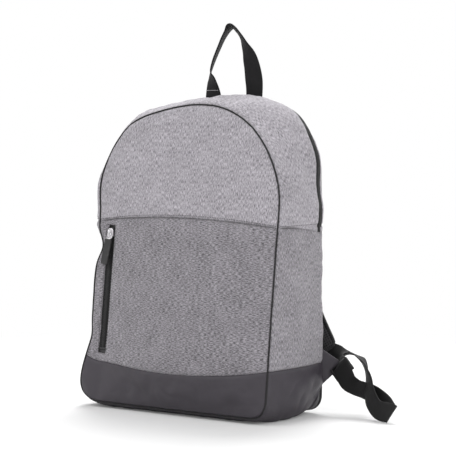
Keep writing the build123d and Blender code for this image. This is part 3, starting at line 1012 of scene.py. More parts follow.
@dataclass
class Band:
    """Flat webbing or tape with rounded edges."""

    width: float
    thickness: float
    edge_steps: int = 3
    face_steps: int = 6

    def section(self) -> list[tuple[float, float]]:
        """Outline of its section: across, and out from its middle.

        Returns:
            Points round it.
        """
        half, round_ = self.width / 2, self.thickness / 2
        flat = half - round_
        upper = [(flat - 2 * flat * k / self.face_steps, round_) for k in range(self.face_steps + 1)]
        angles = [math.pi / 2 + math.pi * k / (self.edge_steps + 1) for k in range(1, self.edge_steps + 1)]
        left = [(-flat + round_ * math.cos(a), round_ * math.sin(a)) for a in angles]
        return [*upper, *left, *[(-x, -y) for x, y in upper], *[(-x, -y) for x, y in left]]

    def swept(
        self,
        line: Sequence[Vector],
        across: Sequence[Vector],
        pinch: Callable[[float], float] | None = None,
    ) -> Draft:
        """Webbing along a line.

        Args:
            line: its middle.
            across: the direction across it at each point.
            pinch: share of its width at a share of its length.

        Returns:
            Its draft.
        """
        draft, rows, places, run = Draft(), [], [], 0.0
        section = self.section()
        last = len(line) - 1
        for index, point in enumerate(line):
            along = heading(line, index)
            side = (across[index] - along * across[index].dot(along)).normalized()
            out = along.cross(side)
            if index:
                run += (point - line[index - 1]).length
            share = pinch(index / last) if pinch else 1.0
            rows.append([point + side * x * share + out * y for x, y in section])
            lap = [(x, run) for x, _ in section]
            places.append([*lap, lap[0]])
        draft.add_grid(rows, places, around=True)
        count = len(section)
        for start, order in ((0, -1), (last * count, 1)):
            corners = [start + k for k in range(count)][::order]
            draft.add_face(corners, [places[0][0]] * count)
        return draft


def ribbon_line(
    stations: Sequence[tuple[Vector, Vector]], per_span: int
) -> tuple[list[Vector], list[Vector]]:
    """Smooth line of a ribbon through a few stations.

    Args:
        stations: points, each with the direction across the ribbon there.
        per_span: how many steps it takes from one to the next.

    Returns:
        Points of the line, and the directions across it, squared to it.
    """
    line = spline([point for point, _ in stations], per_span)
    sides = []
    for index, side in enumerate(spline([side.normalized() for _, side in stations], per_span)):
        across, along = side.normalized(), heading(line, index)
        sides.append((across - along * across.dot(along)).normalized())
    return line, sides


@dataclass
class Stitches:
    """A row of short raised stitches."""

    length: float = 2.6 * MM
    gap: float = 1.0 * MM
    thick: float = 0.32 * MM
    sides: int = 6
    sag: float = 0.4  # rise of a stitch beside its middle, as a share of its thickness

    def along(self, line: Sequence[Vector], normals: Sequence[Vector]) -> Draft:
        """Stitches along a line on a surface.

        Args:
            line: where the row runs.
            normals: the surface's normal at each point of the line.

        Returns:
            Their draft.
        """
        draft = Draft()
        steps = lengths(line)
        count = int(steps[-1] / (self.length + self.gap))
        for number in range(count):
            pitch = steps[-1] / count
            ends = [number * pitch + self.gap / 2, (number + 1) * pitch - self.gap / 2]
            first, second = (resample(line, [min(1.0, end / steps[-1])])[0] for end in ends)
            up = normals[min(range(len(steps)), key=lambda i: abs(steps[i] - ends[0]))]
            middle = (first + second) / 2 + up * self.thick
            sink, bow = up * -self.thick, up * self.thick * self.sag
            points = [first + sink, first.lerp(middle, 0.5) + bow, middle,
                      second.lerp(middle, 0.5) + bow, second + sink]
            draft.add_draft(tube(points, self._taper, self.sides))
        return draft

    def _taper(self, share: float) -> float:
        """Radius of a stitch at a share of its length."""
        return self.thick * (0.75 + 0.35 * math.sin(math.pi * share))


def pointed_rows(rows: Sequence[Sequence[Vector]]) -> list[list[tuple[float, float]]]:
    """Cloth places of a grid, by its own lengths across and along.

    Args:
        rows: the grid's points, row by row.

    Returns:
        The places, row by row.
    """
    places, along = [], 0.0
    for index, row in enumerate(rows):
        if index:
            along += (row[0] - rows[index - 1][0]).length
        run, spots = 0.0, []
        for k, point in enumerate(row):
            if k:
                run += (point - row[k - 1]).length
            spots.append((run, along))
        places.append(spots)
    return places


# --------------------------------------------------------------------------------------------------
# The soft shell of the bag
# --------------------------------------------------------------------------------------------------


class Panel(Enum):
    """The shell's sewn panels, and the slots where its zips lie."""

    BASE_FRONT = 0
    POCKET = 1
    POCKET_SLOT = 2
    UPPER = 3
    BASE = 4
    SIDE_LEFT = 5
    SIDE_RIGHT = 6
    GUSSET = 7
    MAIN_SLOT = 8
    BACK_STRIP = 9
    BACK = 10


@dataclass
class Outline:
    """Closed arched outline of the bag, seen from the front."""

    half: float
    foot: float
    corner: float
    top: float
    shoulder: float
    crown: float
    split: float = math.radians(52)  # angle up the shoulder arc at which the arch's crown starts

    def crown_centre(self) -> float:
        """Height of the crown arc's centre."""
        return self.top - self.crown

    def shoulder_centre(self) -> tuple[float, float]:
        """Centre of the right shoulder arc."""
        x = self.half - self.shoulder
        return x, self.crown_centre() + math.sqrt((self.crown - self.shoulder) ** 2 - x**2)

    def arch(self, start: float, end: float, steps: int = 24) -> list[Vector]:
        """Points of the right half of the arch, where its outward direction is between two angles.

        Args:
            start: the first angle up from the side.
            end: the last one.
            steps: how many steps lie between them.

        Returns:
            The points, from the first angle on.
        """
        x, z = self.shoulder_centre()
        meet = math.atan2(z - self.crown_centre(), x)
        points = []
        for step in range(steps + 1):
            angle = start + (end - start) * step / steps
            if angle < meet:
                across, up = self.shoulder * math.cos(angle), self.shoulder * math.sin(angle)
                points.append(Vector((x + across, 0, z + up)))
            else:
                height = self.crown_centre() + self.crown * math.sin(angle)
                points.append(Vector((self.crown * math.cos(angle), 0, height)))
        return points

    def inside(self, x: float, z: float) -> float:
        """How far a point is inside the outline.

        Args:
            x: how far the point is from the middle.
            z: its height.

        Returns:
            The distance, below zero outside.
        """
        x = abs(x)
        sx, sz = self.shoulder_centre()
        if z < self.foot + self.corner and x > self.half - self.corner:
            away = math.hypot(x - self.half + self.corner, z - self.foot - self.corner)
            return self.corner - away
        if z < sz:
            return min(self.half - x, z - self.foot)
        if math.atan2(z - sz, x - sx) < math.atan2(sz - self.crown_centre(), sx):
            return self.shoulder - math.hypot(x - sx, z - sz)
        return self.crown - math.hypot(x, z - self.crown_centre())

    def right_sides(self, band: float, seam: float) -> dict[str, list[Vector]]:
        """The right half as five lines, from the middle of the foot up to the top.

        Args:
            band: height of the base band's seam at the side.
            seam: height of the pocket's top seam at the side.

        Returns:
            The lines, named foot, band, pocket, upper and crown.
        """
        centre = Vector((self.half - self.corner, 0, self.foot + self.corner))

        def corner(start: float, end: float) -> list[Vector]:
            """Points of the bottom corner between two angles."""
            angles = [start + (end - start) * k / 10 for k in range(11)]
            return [centre + Vector((math.cos(a), 0, math.sin(a))) * self.corner for a in angles]

        return {
            "foot": [Vector((0, 0, self.foot)), *corner(-math.pi / 2, -math.pi / 4)],
            "band": [*corner(-math.pi / 4, 0), Vector((self.half, 0, band))],
            "pocket": [Vector((self.half, 0, band)), Vector((self.half, 0, seam))],
            "upper": [Vector((self.half, 0, seam)), *self.arch(0, self.split)],
            "crown": self.arch(self.split, math.pi / 2, 36),
        }


@dataclass
class Push:
    """A soft dent or swelling: how far the cloth moves near a point."""

    at: tuple[float, float, float]
    move: tuple[float, float, float]
    reach: float

    def on(self, point: Vector) -> Vector:
        """How far a point moves."""
        away = (point - Vector(self.at)).length / self.reach
        return Vector(self.move) * math.exp(-away * away)


@dataclass
class BagForm:
    """Sizes of the bag's soft shell. The overall ones come from the frame."""

    columns: tuple[int, int, int] = (3, 2, 30)  # left of the pocket zip, its slot, and right of it
    slot: tuple[float, float] = (-0.1275, -0.1165)  # left and right edge of the pocket zip's slot
    slot_foot: float = 0.0765
    slot_head: float = 0.2355
    band_rows: int = 9
    slot_rows: int = 18
    upper_rows: int = 15
    depth_rows: int = 12
    band_dip: float = 0.013  # how far the band's seam sags in the middle
    seam_rise: float = 0.0085  # how far the pocket's top seam rises in the middle
    bulge_top: float = 0.0085  # how far the gusset swells between its seams
    bulge_side: float = 0.004
    bulge_foot: float = 0.0085
    floor: float = 0.0005  # lowest that the cloth may come
    main_slot: tuple[float, float] = (0.0530, 0.0606)  # front and back edge of the main zip's slot
    back_inset: float = 0.0028  # the back's rim inside the widest outline
    back_padding: float = 0.002  # how far the back's rim lies inside the frame's
    back_crown: float = 0.004  # how far the padded back stands out
    crown_heights: tuple[float, ...] = (0.0, 0.030, 0.066, 0.150, 0.242, 0.300, 0.360, 0.397)
    crown_depths: tuple[float, ...] = (0.006, 0.010, 0.0150, 0.0150, 0.0105, 0.0095, 0.0080, 0.006)
    rim_round: float = 0.012  # how wide the front's rounded edge is
    puff: float = 0.0105  # how far the cloth puffs out behind the front seam, low on the left shoulder
    puff_depth: float = 0.008
    puff_span: tuple[float, float, float, float] = (0.212, 0.238, 0.285, 0.325)
    crown_left: tuple[float, float] = (-0.118, -0.1455)  # where the front starts to rise, low and high on it
    crown_left_span: tuple[float, float] = (0.225, 0.275)  # heights of that low and that high
    pushes: tuple[Push, ...] = (
        Push((-0.100, 0.000, 0.372), (-0.003, 0.0, 0.005), 0.040),
        Push((-0.152, 0.012, 0.252), (-0.006, 0.0, 0.0), 0.040),
        Push((-0.150, -0.036, 0.252), (0.0052, 0.0, 0.0), 0.028),
        Push((-0.138, 0.000, 0.315), (-0.007, 0.0, 0.003), 0.038),
        Push((-0.112, 0.000, 0.358), (-0.004, 0.0, 0.004), 0.040),
        Push((0.075, 0.035, 0.397), (0.003, 0.0, 0.0065), 0.050),
        Push((0.118, 0.040, 0.360), (0.006, 0.0, 0.005), 0.042),
        Push((-0.030, 0.030, 0.408), (0.0, 0.0, -0.006), 0.048),
        Push((0.012, 0.030, 0.410), (0.0, 0.0, -0.003), 0.030),
        Push((0.149, 0.044, 0.272), (0.0045, 0.0, 0.0), 0.022),
        Push((-0.150, -0.045, 0.036), (-0.0130, -0.001, 0.0), 0.038),
        Push((-0.148, -0.040, 0.210), (0.012, 0.0, 0.0), 0.016),
        Push((0.148, 0.010, 0.033), (0.003, 0.0, 0.0), 0.045),
        Push((0.103, 0.050, 0.384), (0.003, 0.0, 0.004), 0.030),
        Push((0.152, 0.058, 0.292), (-0.0035, 0.0, 0.0), 0.020),
        Push((0.140, 0.056, 0.325), (0.0025, 0.0, 0.001), 0.018),
        Push((-0.150, -0.050, 0.088), (0.0040, 0.0, 0.0), 0.020),
        Push((-0.150, -0.052, 0.076), (0.0, 0.0, 0.004), 0.014),
        Push((-0.127, -0.066, 0.064), (0.0, 0.0, -0.0034), 0.022),
        Push((0.150, 0.060, 0.175), (-0.0035, 0.0, 0.0), 0.045),
        Push((-0.146, -0.060, -0.004), (0.005, 0.0, 0.003), 0.018),
        Push((0.145, 0.072, 0.240), (0.0, 0.0, -0.010), 0.050),
        Push((-0.145, 0.072, 0.240), (0.0, 0.0, -0.010), 0.050),
    )

    def __post_init__(self) -> None:
        """Reads the overall sizes from the frame."""
        low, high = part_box("base_gusset")
        _, back_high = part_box("back_panel")
        hinge = joint_place("flap_open")
        self.half = high.x
        self.front_foot = low.y
        self.back = back_high.y - self.back_padding
        self.band = high.z
        self.seam = hinge[2]
        self.slope = (hinge[1] - self.front_foot) / self.seam
        top, inset = back_high.z, self.back_inset
        self.front_rim = Outline(self.half, foot=0.0068, corner=0.022, top=0.3968,
                                 shoulder=0.110, crown=0.150)
        self.arch_rim = Outline(self.half, foot=0.0030, corner=0.022, top=top, shoulder=0.105, crown=0.180)
        self.back_rim = Outline(self.half - inset, foot=0.0030, corner=0.020, top=top - inset,
                                shoulder=0.105 - inset, crown=0.180 - inset)

    def arch_path(self, below: float = 0.0) -> list[Vector]:
        """The arch of the widest outline, from its left foot to its right one.

        Args:
            below: how far it starts and ends below the pocket's seam.

        Returns:
            Points of the arch.
        """
        arch = self.arch_rim.right_sides(self.band, self.seam)
        foot = [Vector((self.half, 0, self.seam - below))] if below else []
        right = [*foot, *arch["upper"], *arch["crown"][1:]]
        return [Vector((-p.x, 0, p.z)) for p in right] + right[-2::-1]

    def front_y(self, height: float) -> float:
        """Y of the flat leaning front at a height."""
        return self.front_foot + height * self.slope

    def front_crown(self, x: float, z: float) -> float:
        """How far the stuffed front stands proud of its plane.

        Args:
            x: place across.
            z: height.

        Returns:
            The distance, forwards.
        """
        depth = between(self.crown_heights, self.crown_depths, z)
        low, high = self.crown_left
        left = low + (high - low) * ease(*self.crown_left_span, z)
        middle, half = (left + self.half) / 2, (self.half - left) / 2
        share = max(0.0, 1 - ((x - middle) / half) ** 2)
        rim = 1 - math.exp(-max(0.0, self.front_rim.inside(x, z)) / self.rim_round)
        return depth * share**0.9 * rim if left < x < self.half else 0.0

    def seam_puff(self, rim: Vector, depth: float) -> float:
        """How far the gusset puffs out at a depth behind a point of the front rim.

        Args:
            rim: the point of the front rim.
            depth: how far behind it.

        Returns:
            The distance, outwards.
        """
        if rim.x > -0.9 * self.half:
            return 0.0
        low, full, fall, high = self.puff_span
        share = depth / self.puff_depth
        height = ease(low, full, rim.z) * (1 - ease(fall, high, rim.z))
        return self.puff * height * share * math.exp(1 - share)

    def settle(self, point: Vector) -> Vector:
        """A point of the tidy shell, moved by all the soft dents, and kept off the floor.

        Args:
            point: the tidy point.

        Returns:
            The moved point.
        """
        moved = point.copy()
        for push in self.pushes:
            moved += push.on(point)
        moved.z = max(moved.z, self.floor)
        return moved


class Shell:
    """The bag's whole soft shell, from which the panels are cut."""

    def __init__(self, form: BagForm) -> None:
        """Keeps the bag's form and works out the grid's shares.

        Args:
            form: the bag's form.
        """
        self.form = form
        width = 2 * form.half
        edges = [0.0, (form.slot[0] + form.half) / width, (form.slot[1] + form.half) / width, 1.0]
        self.columns = self._shares(edges, form.columns)
        self.slot_columns = (form.columns[0], form.columns[0] + form.columns[1])
        self.band_shares = self._shares([0.0, 1.0], (form.band_rows,))
        tall = form.seam - form.band
        edges = [0.0, (form.slot_foot - form.band) / tall, (form.slot_head - form.band) / tall, 1.0]
        self.pocket_shares = self._shares(edges, (1, form.slot_rows, 1))
        self.upper_shares = self._shares([0.0, 1.0], (form.upper_rows,))

    @staticmethod
    def _shares(edges: Sequence[float], counts: Sequence[int]) -> list[float]:
        """Rising shares, with a number of equal steps between each two edges.

        Args:
            edges: the shares that the steps lie between.
            counts: the number of steps in each gap.

        Returns:
            The shares, with both ends.
        """
        shares = [edges[0]]
        for low, high, count in zip(edges, edges[1:], counts):
            shares.extend(low + (high - low) * (k + 1) / count for k in range(count))
        return shares

    def _outline_sides(self, outline: Outline, curved: bool) -> dict[str, list[Vector]]:
        """The sides of the three stacked patches of an outline.

        Args:
            outline: the outline.
            curved: whether the seams across it are curved, as on the front.

        Returns:
            Lines named foot, band_seam, pocket_seam and crown, left to right, and left_ and right_ with
            band, pocket and upper, from the foot up.
        """
        form = self.form
        right = outline.right_sides(form.band, form.seam)
        flipped = {name: [Vector((-p.x, 0, p.z)) for p in line] for name, line in right.items()}
        sides = {
            "foot": resample([*flipped["foot"][:0:-1], *right["foot"]], self.columns),
            "crown": resample([*flipped["crown"], *right["crown"][-2::-1]], self.columns),
        }
        xs = [form.half * (2 * share - 1) for share in self.columns]
        seams = (("band_seam", form.band, -form.band_dip), ("pocket_seam", form.seam, form.seam_rise))
        for name, height, rise in seams:
            bend = [rise * (1 - (x / form.half) ** 2) if curved else 0.0 for x in xs]
            sides[name] = [Vector((x, 0, height + up)) for x, up in zip(xs, bend)]
        stack = (("band", self.band_shares), ("pocket", self.pocket_shares), ("upper", self.upper_shares))
        for name, shares in stack:
            sides["right_" + name] = resample(right[name], shares)
            sides["left_" + name] = resample(flipped[name], shares)
        return sides

    def _patch(
        self,
        bottom: list[Vector],
        top: list[Vector],
        left: list[Vector],
        right: list[Vector],
        shares: list[float],
    ) -> list[list[Vector]]:
        """Grid that fills four sides smoothly, row by row from the bottom.

        Args:
            bottom: its lowest row.
            top: its highest row.
            left: its left edge, upwards.
            right: its right edge, upwards.
            shares: the height of each row, from 0 to 1.

        Returns:
            The rows.
        """
        rows = []
        for r, v in enumerate(shares):
            row = []
            for c, u in enumerate(self.columns):
                straight = bottom[c] * (1 - v) + top[c] * v + left[r] * (1 - u) + right[r] * u
                low, high = bottom[0] * (1 - u) + bottom[-1] * u, top[0] * (1 - u) + top[-1] * u
                row.append(straight - (low * (1 - v) + high * v))
            rows.append(row)
        return rows

    def _face_patches(
        self, outline: Outline, curved: bool
    ) -> tuple[list[list[list[Vector]]], dict[str, list[Vector]]]:
        """The band, pocket and upper grids of an outline, and its sides.

        Args:
            outline: the outline.
            curved: whether the seams across it are curved, as on the front.

        Returns:
            The three grids, and the sides by name.
        """
        sides = self._outline_sides(outline, curved)
        stack = (
            ("foot", "band_seam", "band", self.band_shares),
            ("band_seam", "pocket_seam", "pocket", self.pocket_shares),
            ("pocket_seam", "crown", "upper", self.upper_shares),
        )
        grids = [self._patch(sides[low], sides[high], sides["left_" + name], sides["right_" + name], shares)
                 for low, high, name, shares in stack]
        return grids, sides

    def _front_panel(self, patch: int) -> Callable[[int, int], int]:
        """Gives the panel of a face of one of the front's patches.

        Args:
            patch: 0 for the band, 1 for the pocket and 2 for the upper front.

        Returns:
            A function of a face's row and column.
        """
        first, last = self.slot_columns

        def panel(row: int, column: int) -> int:
            """The panel at a row and column.

            Args:
                row: the face's row.
                column: its column.

            Returns:
                The panel's number.
            """
            if patch == 0:
                return Panel.BASE_FRONT.value
            if patch == 2:
                return Panel.UPPER.value
            in_slot = first <= column < last and 1 <= row <= self.form.slot_rows
            return Panel.POCKET_SLOT.value if in_slot else Panel.POCKET.value

        return panel

    def _rim(self, sides: dict[str, list[Vector]]) -> tuple[list[Vector], list[Panel]]:
        """The closed rim of an outline, and the gusset's panel after each of its points.

        Args:
            sides: the outline's sides.

        Returns:
            Points from the foot's left end, round by the right side, and as many panels.
        """
        points: list[Vector] = []
        panels: list[Panel] = []
        turns = (
            ("foot", 1, Panel.BASE),
            ("right_band", 1, Panel.BASE),
            ("right_pocket", 1, Panel.SIDE_RIGHT),
            ("right_upper", 1, Panel.GUSSET),
            ("crown", -1, Panel.GUSSET),
            ("left_upper", -1, Panel.GUSSET),
            ("left_pocket", -1, Panel.SIDE_LEFT),
            ("left_band", -1, Panel.BASE),
        )
        for name, order, panel in turns:
            line = sides[name][::order]
            points.extend(line[:-1])
            panels.extend([panel] * (len(line) - 1))
        return points, panels

    def _gusset(
        self, front: list[Vector], wide: list[Vector], back: list[Vector], panels: list[Panel]
    ) -> Draft:
        """The gusset, base and sides, between the front and back rims.

        Args:
            front: points of the front rim.
            wide: points of the widest outline, where the main zip lies.
            back: points of the back rim.
            panels: the panel after each of them.

        Returns:
            The draft.
        """
        form, count = self.form, len(front)
        slot_low, slot_high = form.main_slot
        rows: list[list[Vector]] = []
        places: list[list[tuple[float, float]]] = []
        run = 0.0
        for index in range(count + 1):
            here, after = index % count, (index + 1) % count
            near, far, rim = front[here], wide[here], back[here]
            ahead = back[after] - back[here - 1] + front[after] - front[here - 1]
            out = Vector((ahead.z, 0, -ahead.x)).normalized()
            bulge = (
                form.bulge_side
                + (form.bulge_top - form.bulge_side) * ease(0.2, 0.9, out.z)
                + (form.bulge_foot - form.bulge_side) * ease(0.2, 0.9, -out.z)
            )
            depths = [near.y + (slot_low - near.y) * k / form.depth_rows for k in range(form.depth_rows)]
            depths += [slot_low, (slot_low + slot_high) / 2, slot_high, (slot_high + rim.y) / 2, rim.y]
            line, spots = [], []
            for depth in depths:
                share = min(1.0, (depth - near.y) / (slot_low - near.y))
                swell = bulge * math.sin(math.pi * share) ** 0.75 if 0 < share < 1 else 0.0
                place = near.lerp(far, share) + out * (swell + form.seam_puff(near, depth - near.y))
                place += (rim - far) * max(0.0, (depth - slot_high) / (rim.y - slot_high)) ** 2
                line.append(Vector((place.x, depth, place.z)))
                spots.append((depth, run))
            rows.append(line)
            places.append(spots)
            run += (back[after] - back[here]).length

        def panel(row: int, column: int) -> int:
            """The panel of the face after a point of the rim, at a depth.

            Args:
                row: number of the rim's point.
                column: number of the depth.

            Returns:
                The panel's number.
            """
            there = panels[row]
            if there is Panel.GUSSET and column >= form.depth_rows:
                return (Panel.MAIN_SLOT if column < form.depth_rows + 2 else Panel.BACK_STRIP).value
            return there.value

        draft = Draft()
        draft.add_grid(rows, places, panel)
        return draft

    def coarse(self) -> bpy.types.Object:
        """The shell's tidy coarse mesh, welded, with its panels as material numbers.

        Returns:
            The mesh's object.
        """
        form = self.form
        draft = Draft()
        grids, front_sides = self._face_patches(form.front_rim, True)
        for patch, grid in enumerate(grids):
            rows = [[self._on_front(p) for p in row] for row in grid]
            pocket = patch == 1  # its cloth is cut across the grain
            places = [[(p.z, p.x) if pocket else (p.x, p.z) for p in row] for row in grid]
            draft.add_grid(rows, places, self._front_panel(patch))
        grids, back_sides = self._face_patches(form.back_rim, False)
        for grid in grids:
            rows = [[Vector((p.x, form.back + self._back_crown(p), p.z)) for p in row] for row in grid]
            places = [[(-p.x, p.z) for p in row] for row in grid]
            draft.add_grid(rows, places, lambda row, column: Panel.BACK.value, flip=True)
        front, panels = self._rim(front_sides)
        front = [Vector((p.x, form.front_y(p.z), p.z)) for p in front]
        back = [Vector((p.x, form.back, p.z)) for p in self._rim(back_sides)[0]]
        wide = self._rim(self._outline_sides(form.arch_rim, False))[0]
        draft.add_draft(self._gusset(front, wide, back, panels))
        draft.points = [form.settle(p) for p in draft.points]
        materials = [bpy.data.materials.new("panel") for _ in Panel]
        shell = draft.to_object("shell", *materials)
        weld(shell)
        return shell

    def _on_front(self, place: Vector) -> Vector:
        """A place of the front's outline, on the stuffed front."""
        depth = self.form.front_y(place.z) - self.form.front_crown(place.x, place.z)
        return Vector((place.x, depth, place.z))

    def _back_crown(self, place: Vector) -> float:
        """How far the padded back stands out at a place.

        Args:
            place: the place.

        Returns:
            The distance, backwards.
        """
        form = self.form
        across = max(0.0, 1 - (place.x / form.half) ** 2)
        up = ease(0.0, 0.05, place.z) * (1 - ease(0.30, 0.36, place.z))
        return form.back_crown * across**0.5 * up


# --------------------------------------------------------------------------------------------------
# The bag's cloth
# --------------------------------------------------------------------------------------------------


def on_flap(piece: bpy.types.Object) -> None:
    """Fixes a piece of the flap where it stands, with its placement baked into its mesh.

    Args:
        piece: the piece.
    """
    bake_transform(piece)


def placed(piece: bpy.types.Object, body: str, slot: str, *nodes: str) -> bpy.types.Object:
    """Moves a finished piece with a body, in place of CAD nodes. A piece of the flap is only baked where it
    stands.

    Args:
        piece: the piece.
        body: the body that it moves with.
        slot: the material slot that its finish is from; not used.
        nodes: the nodes that it stands for.

    Returns:
        The same piece.
    """
    if nodes:
        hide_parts(*nodes)
    if body == "flap":
        on_flap(piece)
    else:
        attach(piece, body)
    log.info("%s: %d faces on %s", piece.name, len(piece.data.polygons), body)
    return piece


@dataclass
class Fold:
    """A soft crease or ridge along a line near the cloth."""

    start: tuple[float, float, float]
    end: tuple[float, float, float]
    depth: float  # below zero for a ridge
    width: float

    def on(self, point: Vector) -> float:
        """How far it moves a point inwards.

        Args:
            point: the point.

        Returns:
            The distance, below zero for outwards.
        """
        first, second = Vector(self.start), Vector(self.end)
        along = second - first
        share = min(1.0, max(0.0, (point - first).dot(along) / along.length_squared))
        away = (point - first - along * share).length / self.width
        if away > 3:
            return 0.0
        fade = ease(-0.05, 0.3, share) * ease(-0.05, 0.3, 1 - share)
        return self.depth * fade * math.exp(-away * away)


@dataclass
class SoftBag:
    """The shell swollen as cloth, drawn in at its seams, and cut into its panels."""

    form: BagForm
    finishes: Finishes
    pressure: float = 2.2
    swell_cap: float = 0.004
    slack: float = 0.006
    levels: int = 2
    groove: float = 1.3 * MM  # how deep a seam draws the cloth in
    groove_width: float = 2.4 * MM
    pucker: float = 0.55 * MM  # small waves beside a seam
    pucker_length: float = 8.5 * MM
    pucker_reach: float = 10 * MM
    free: float = 25 * MM  # distance from a seam at which the cloth lies free of it
    unevenness: float = 2.0 * MM
    unevenness_length: float = 55 * MM
    crumple: float = 1.2 * MM
    crumple_length: float = 24 * MM
    overlap: float = 2.4 * MM  # how far the pocket's top seam is turned in
    overlap_width: float = 1.5 * MM
    thickness: float = 2.0 * MM
    front_reach: float = 4 * MM  # depth behind the front that still counts as front
    rim_middle: float = 0.2  # height round which the front seam's points are put in order
    channel: float = 3.2 * MM  # depth of the back's sewn channels
    channel_half: float = 4.2 * MM
    channel_side: float = 0.128  # where the upright channels at the sides are
    back_levels: tuple[float, ...] = (0.100, 0.165, 0.230, 0.295)
    folds: tuple[Fold, ...] = (
        Fold((-0.030, -0.030, 0.231), (0.140, -0.030, 0.236), 1.6 * MM, 6 * MM),
        Fold((-0.135, -0.055, 0.070), (-0.060, -0.062, 0.078), 1.2 * MM, 7 * MM),
        Fold((-0.147, -0.040, 0.062), (-0.150, 0.030, 0.050), 2.2 * MM, 9 * MM),
        Fold((0.147, -0.035, 0.232), (0.150, 0.040, 0.222), 2.0 * MM, 8 * MM),
        Fold((-0.110, -0.014, 0.340), (-0.060, -0.012, 0.362), 1.0 * MM, 8 * MM),
        Fold((0.070, -0.012, 0.362), (0.112, -0.016, 0.330), 1.2 * MM, 8 * MM),
        Fold((0.142, -0.010, 0.300), (0.146, 0.045, 0.285), 1.8 * MM, 9 * MM),
        Fold((0.146, -0.030, 0.110), (0.149, 0.040, 0.120), 1.6 * MM, 12 * MM),
        Fold((-0.146, -0.030, 0.150), (-0.149, 0.040, 0.140), 1.6 * MM, 12 * MM),
    )

    def build(self) -> None:
        """Makes the shell and all of its panels."""
        self.shell = Shell(self.form).coarse()
        pins = self._seam_points() | self._back_points()
        swollen(self.shell, pins, self.pressure, self.swell_cap, self.slack)
        self.inner = self.shell.copy()
        self.inner.data = self.shell.data.copy()
        bpy.context.scene.collection.objects.link(self.inner)
        subdivided(self.shell, self.levels)
        self._ease_seams()
        self.rim = self._front_rim()
        mesh = self.shell.data
        faces = [tuple(p.vertices) for p in mesh.polygons]
        self.surface = BVHTree.FromPolygons([v.co for v in mesh.vertices], faces)
        self._cut()

    def _seam_points(self) -> set[int]:
        """The shell's points that lie between two panels.

        Returns:
            Their numbers.
        """
        mesh = self.shell.data
        first: dict[tuple[int, int], int] = {}
        found: set[int] = set()
        for polygon in mesh.polygons:
            for key in polygon.edge_keys:
                if first.setdefault(key, polygon.material_index) != polygon.material_index:
                    found.update(key)
        return found

    def _back_points(self) -> set[int]:
        """The shell's points on the back."""
        faces = self.shell.data.polygons
        return {i for face in faces if face.material_index == Panel.BACK.value for i in face.vertices}

    def _front_rim(self) -> list[tuple[Vector, Vector]]:
        """Points and normals of the seam round the front, in order round it.

        Returns:
            Each point with its normal.
        """
        front = {Panel.BASE_FRONT.value, Panel.POCKET.value, Panel.UPPER.value}
        around = {Panel.BASE.value, Panel.SIDE_LEFT.value, Panel.SIDE_RIGHT.value, Panel.GUSSET.value}
        sides: list[set[int]] = [set(), set()]
        for polygon in self.shell.data.polygons:
            for group, panels in zip(sides, (front, around)):
                if polygon.material_index in panels:
                    group.update(polygon.vertices)
        shared = [self.shell.data.vertices[i] for i in sides[0] & sides[1]]
        shared.sort(key=lambda v: math.atan2(v.co.x, self.rim_middle - v.co.z))
        return [(v.co.copy(), v.normal.copy()) for v in shared]

    def _ease_seams(self) -> None:
        """Draws the seams in, puckers the cloth beside them and leaves the rest a little uneven."""
        mesh = self.shell.data
        seams = self._seam_points()
        tree = KDTree(len(seams))
        for index in seams:
            tree.insert(mesh.vertices[index].co, index)
        tree.balance()
        back = self._back_points()
        moves = []
        for vertex in mesh.vertices:
            place = vertex.co
            away = tree.find(place)[2]
            inward = self.groove * math.exp(-((away / self.groove_width) ** 2))
            beside = math.exp(-((away / self.pucker_reach) ** 2)) * ease(0, self.pucker_length / 3, away)
            inward += self.pucker * beside * noise.noise(place / self.pucker_length)
            inward += self._turned_in(place)
            free = ease(0.0, self.free, away)
            if vertex.index in back:
                inward += self._back_channels(place)
            else:
                inward += self.unevenness * free * noise.noise(place / self.unevenness_length)
                ridge = abs(noise.noise(place / self.crumple_length + UP))
                inward += self.crumple * free * (0.5 - ridge) * 2
                inward += sum(fold.on(place) for fold in self.folds)
            moves.append(vertex.normal * -inward)
        for vertex, move in zip(mesh.vertices, moves):
            vertex.co += move
            vertex.co.z = max(vertex.co.z, self.form.floor)
        mesh.update()

    def _turned_in(self, place: Vector) -> float:
        """How far the seam above the pocket is turned in at a place on the front or the sides.

        Args:
            place: the place.

        Returns:
            The distance.
        """
        form = self.form
        behind = place.y - form.front_y(place.z)
        on_front = behind < self.front_reach
        rise = form.seam_rise * (1 - (place.x / form.half) ** 2) if on_front else 0.0
        away = (place.z - form.seam - rise) / self.overlap_width
        clear = form.half - abs(place.x) if on_front else behind - self.front_reach
        return self.overlap * ease(0.0, 0.012, clear) * math.exp(-away * away)

    def _back_channels(self, place: Vector) -> float:
        """How deep the sewn channels of the padded back are at a place.

        Args:
            place: the place.

        Returns:
            The depth.
        """
        inner = ease(0.030, 0.055, place.z) * (1 - ease(0.325, 0.345, place.z))
        middle = 1 - ease(0.011, 0.017, abs(place.x))
        cross = max(math.exp(-(((place.z - level) / self.channel_half) ** 2)) for level in self.back_levels)
        cross *= 1 - ease(0.118, 0.130, abs(place.x))
        edge = math.exp(-(((abs(place.x) - self.channel_side) / 0.0035) ** 2))
        return inner * max(self.channel * middle, self.channel * 0.8 * cross, self.channel * 0.6 * edge)

    def probe(self, outside: Vector, inward: Vector) -> tuple[Vector, Vector]:
        """The cloth's nearest point and normal along a line.

        Args:
            outside: where the line starts, outside the bag.
            inward: its direction.

        Returns:
            The point and the normal there.
        """
        place, normal, _, _ = self.surface.ray_cast(outside, inward.normalized())
        if place is None:
            place, normal, _, _ = self.surface.find_nearest(outside)
        return place, normal

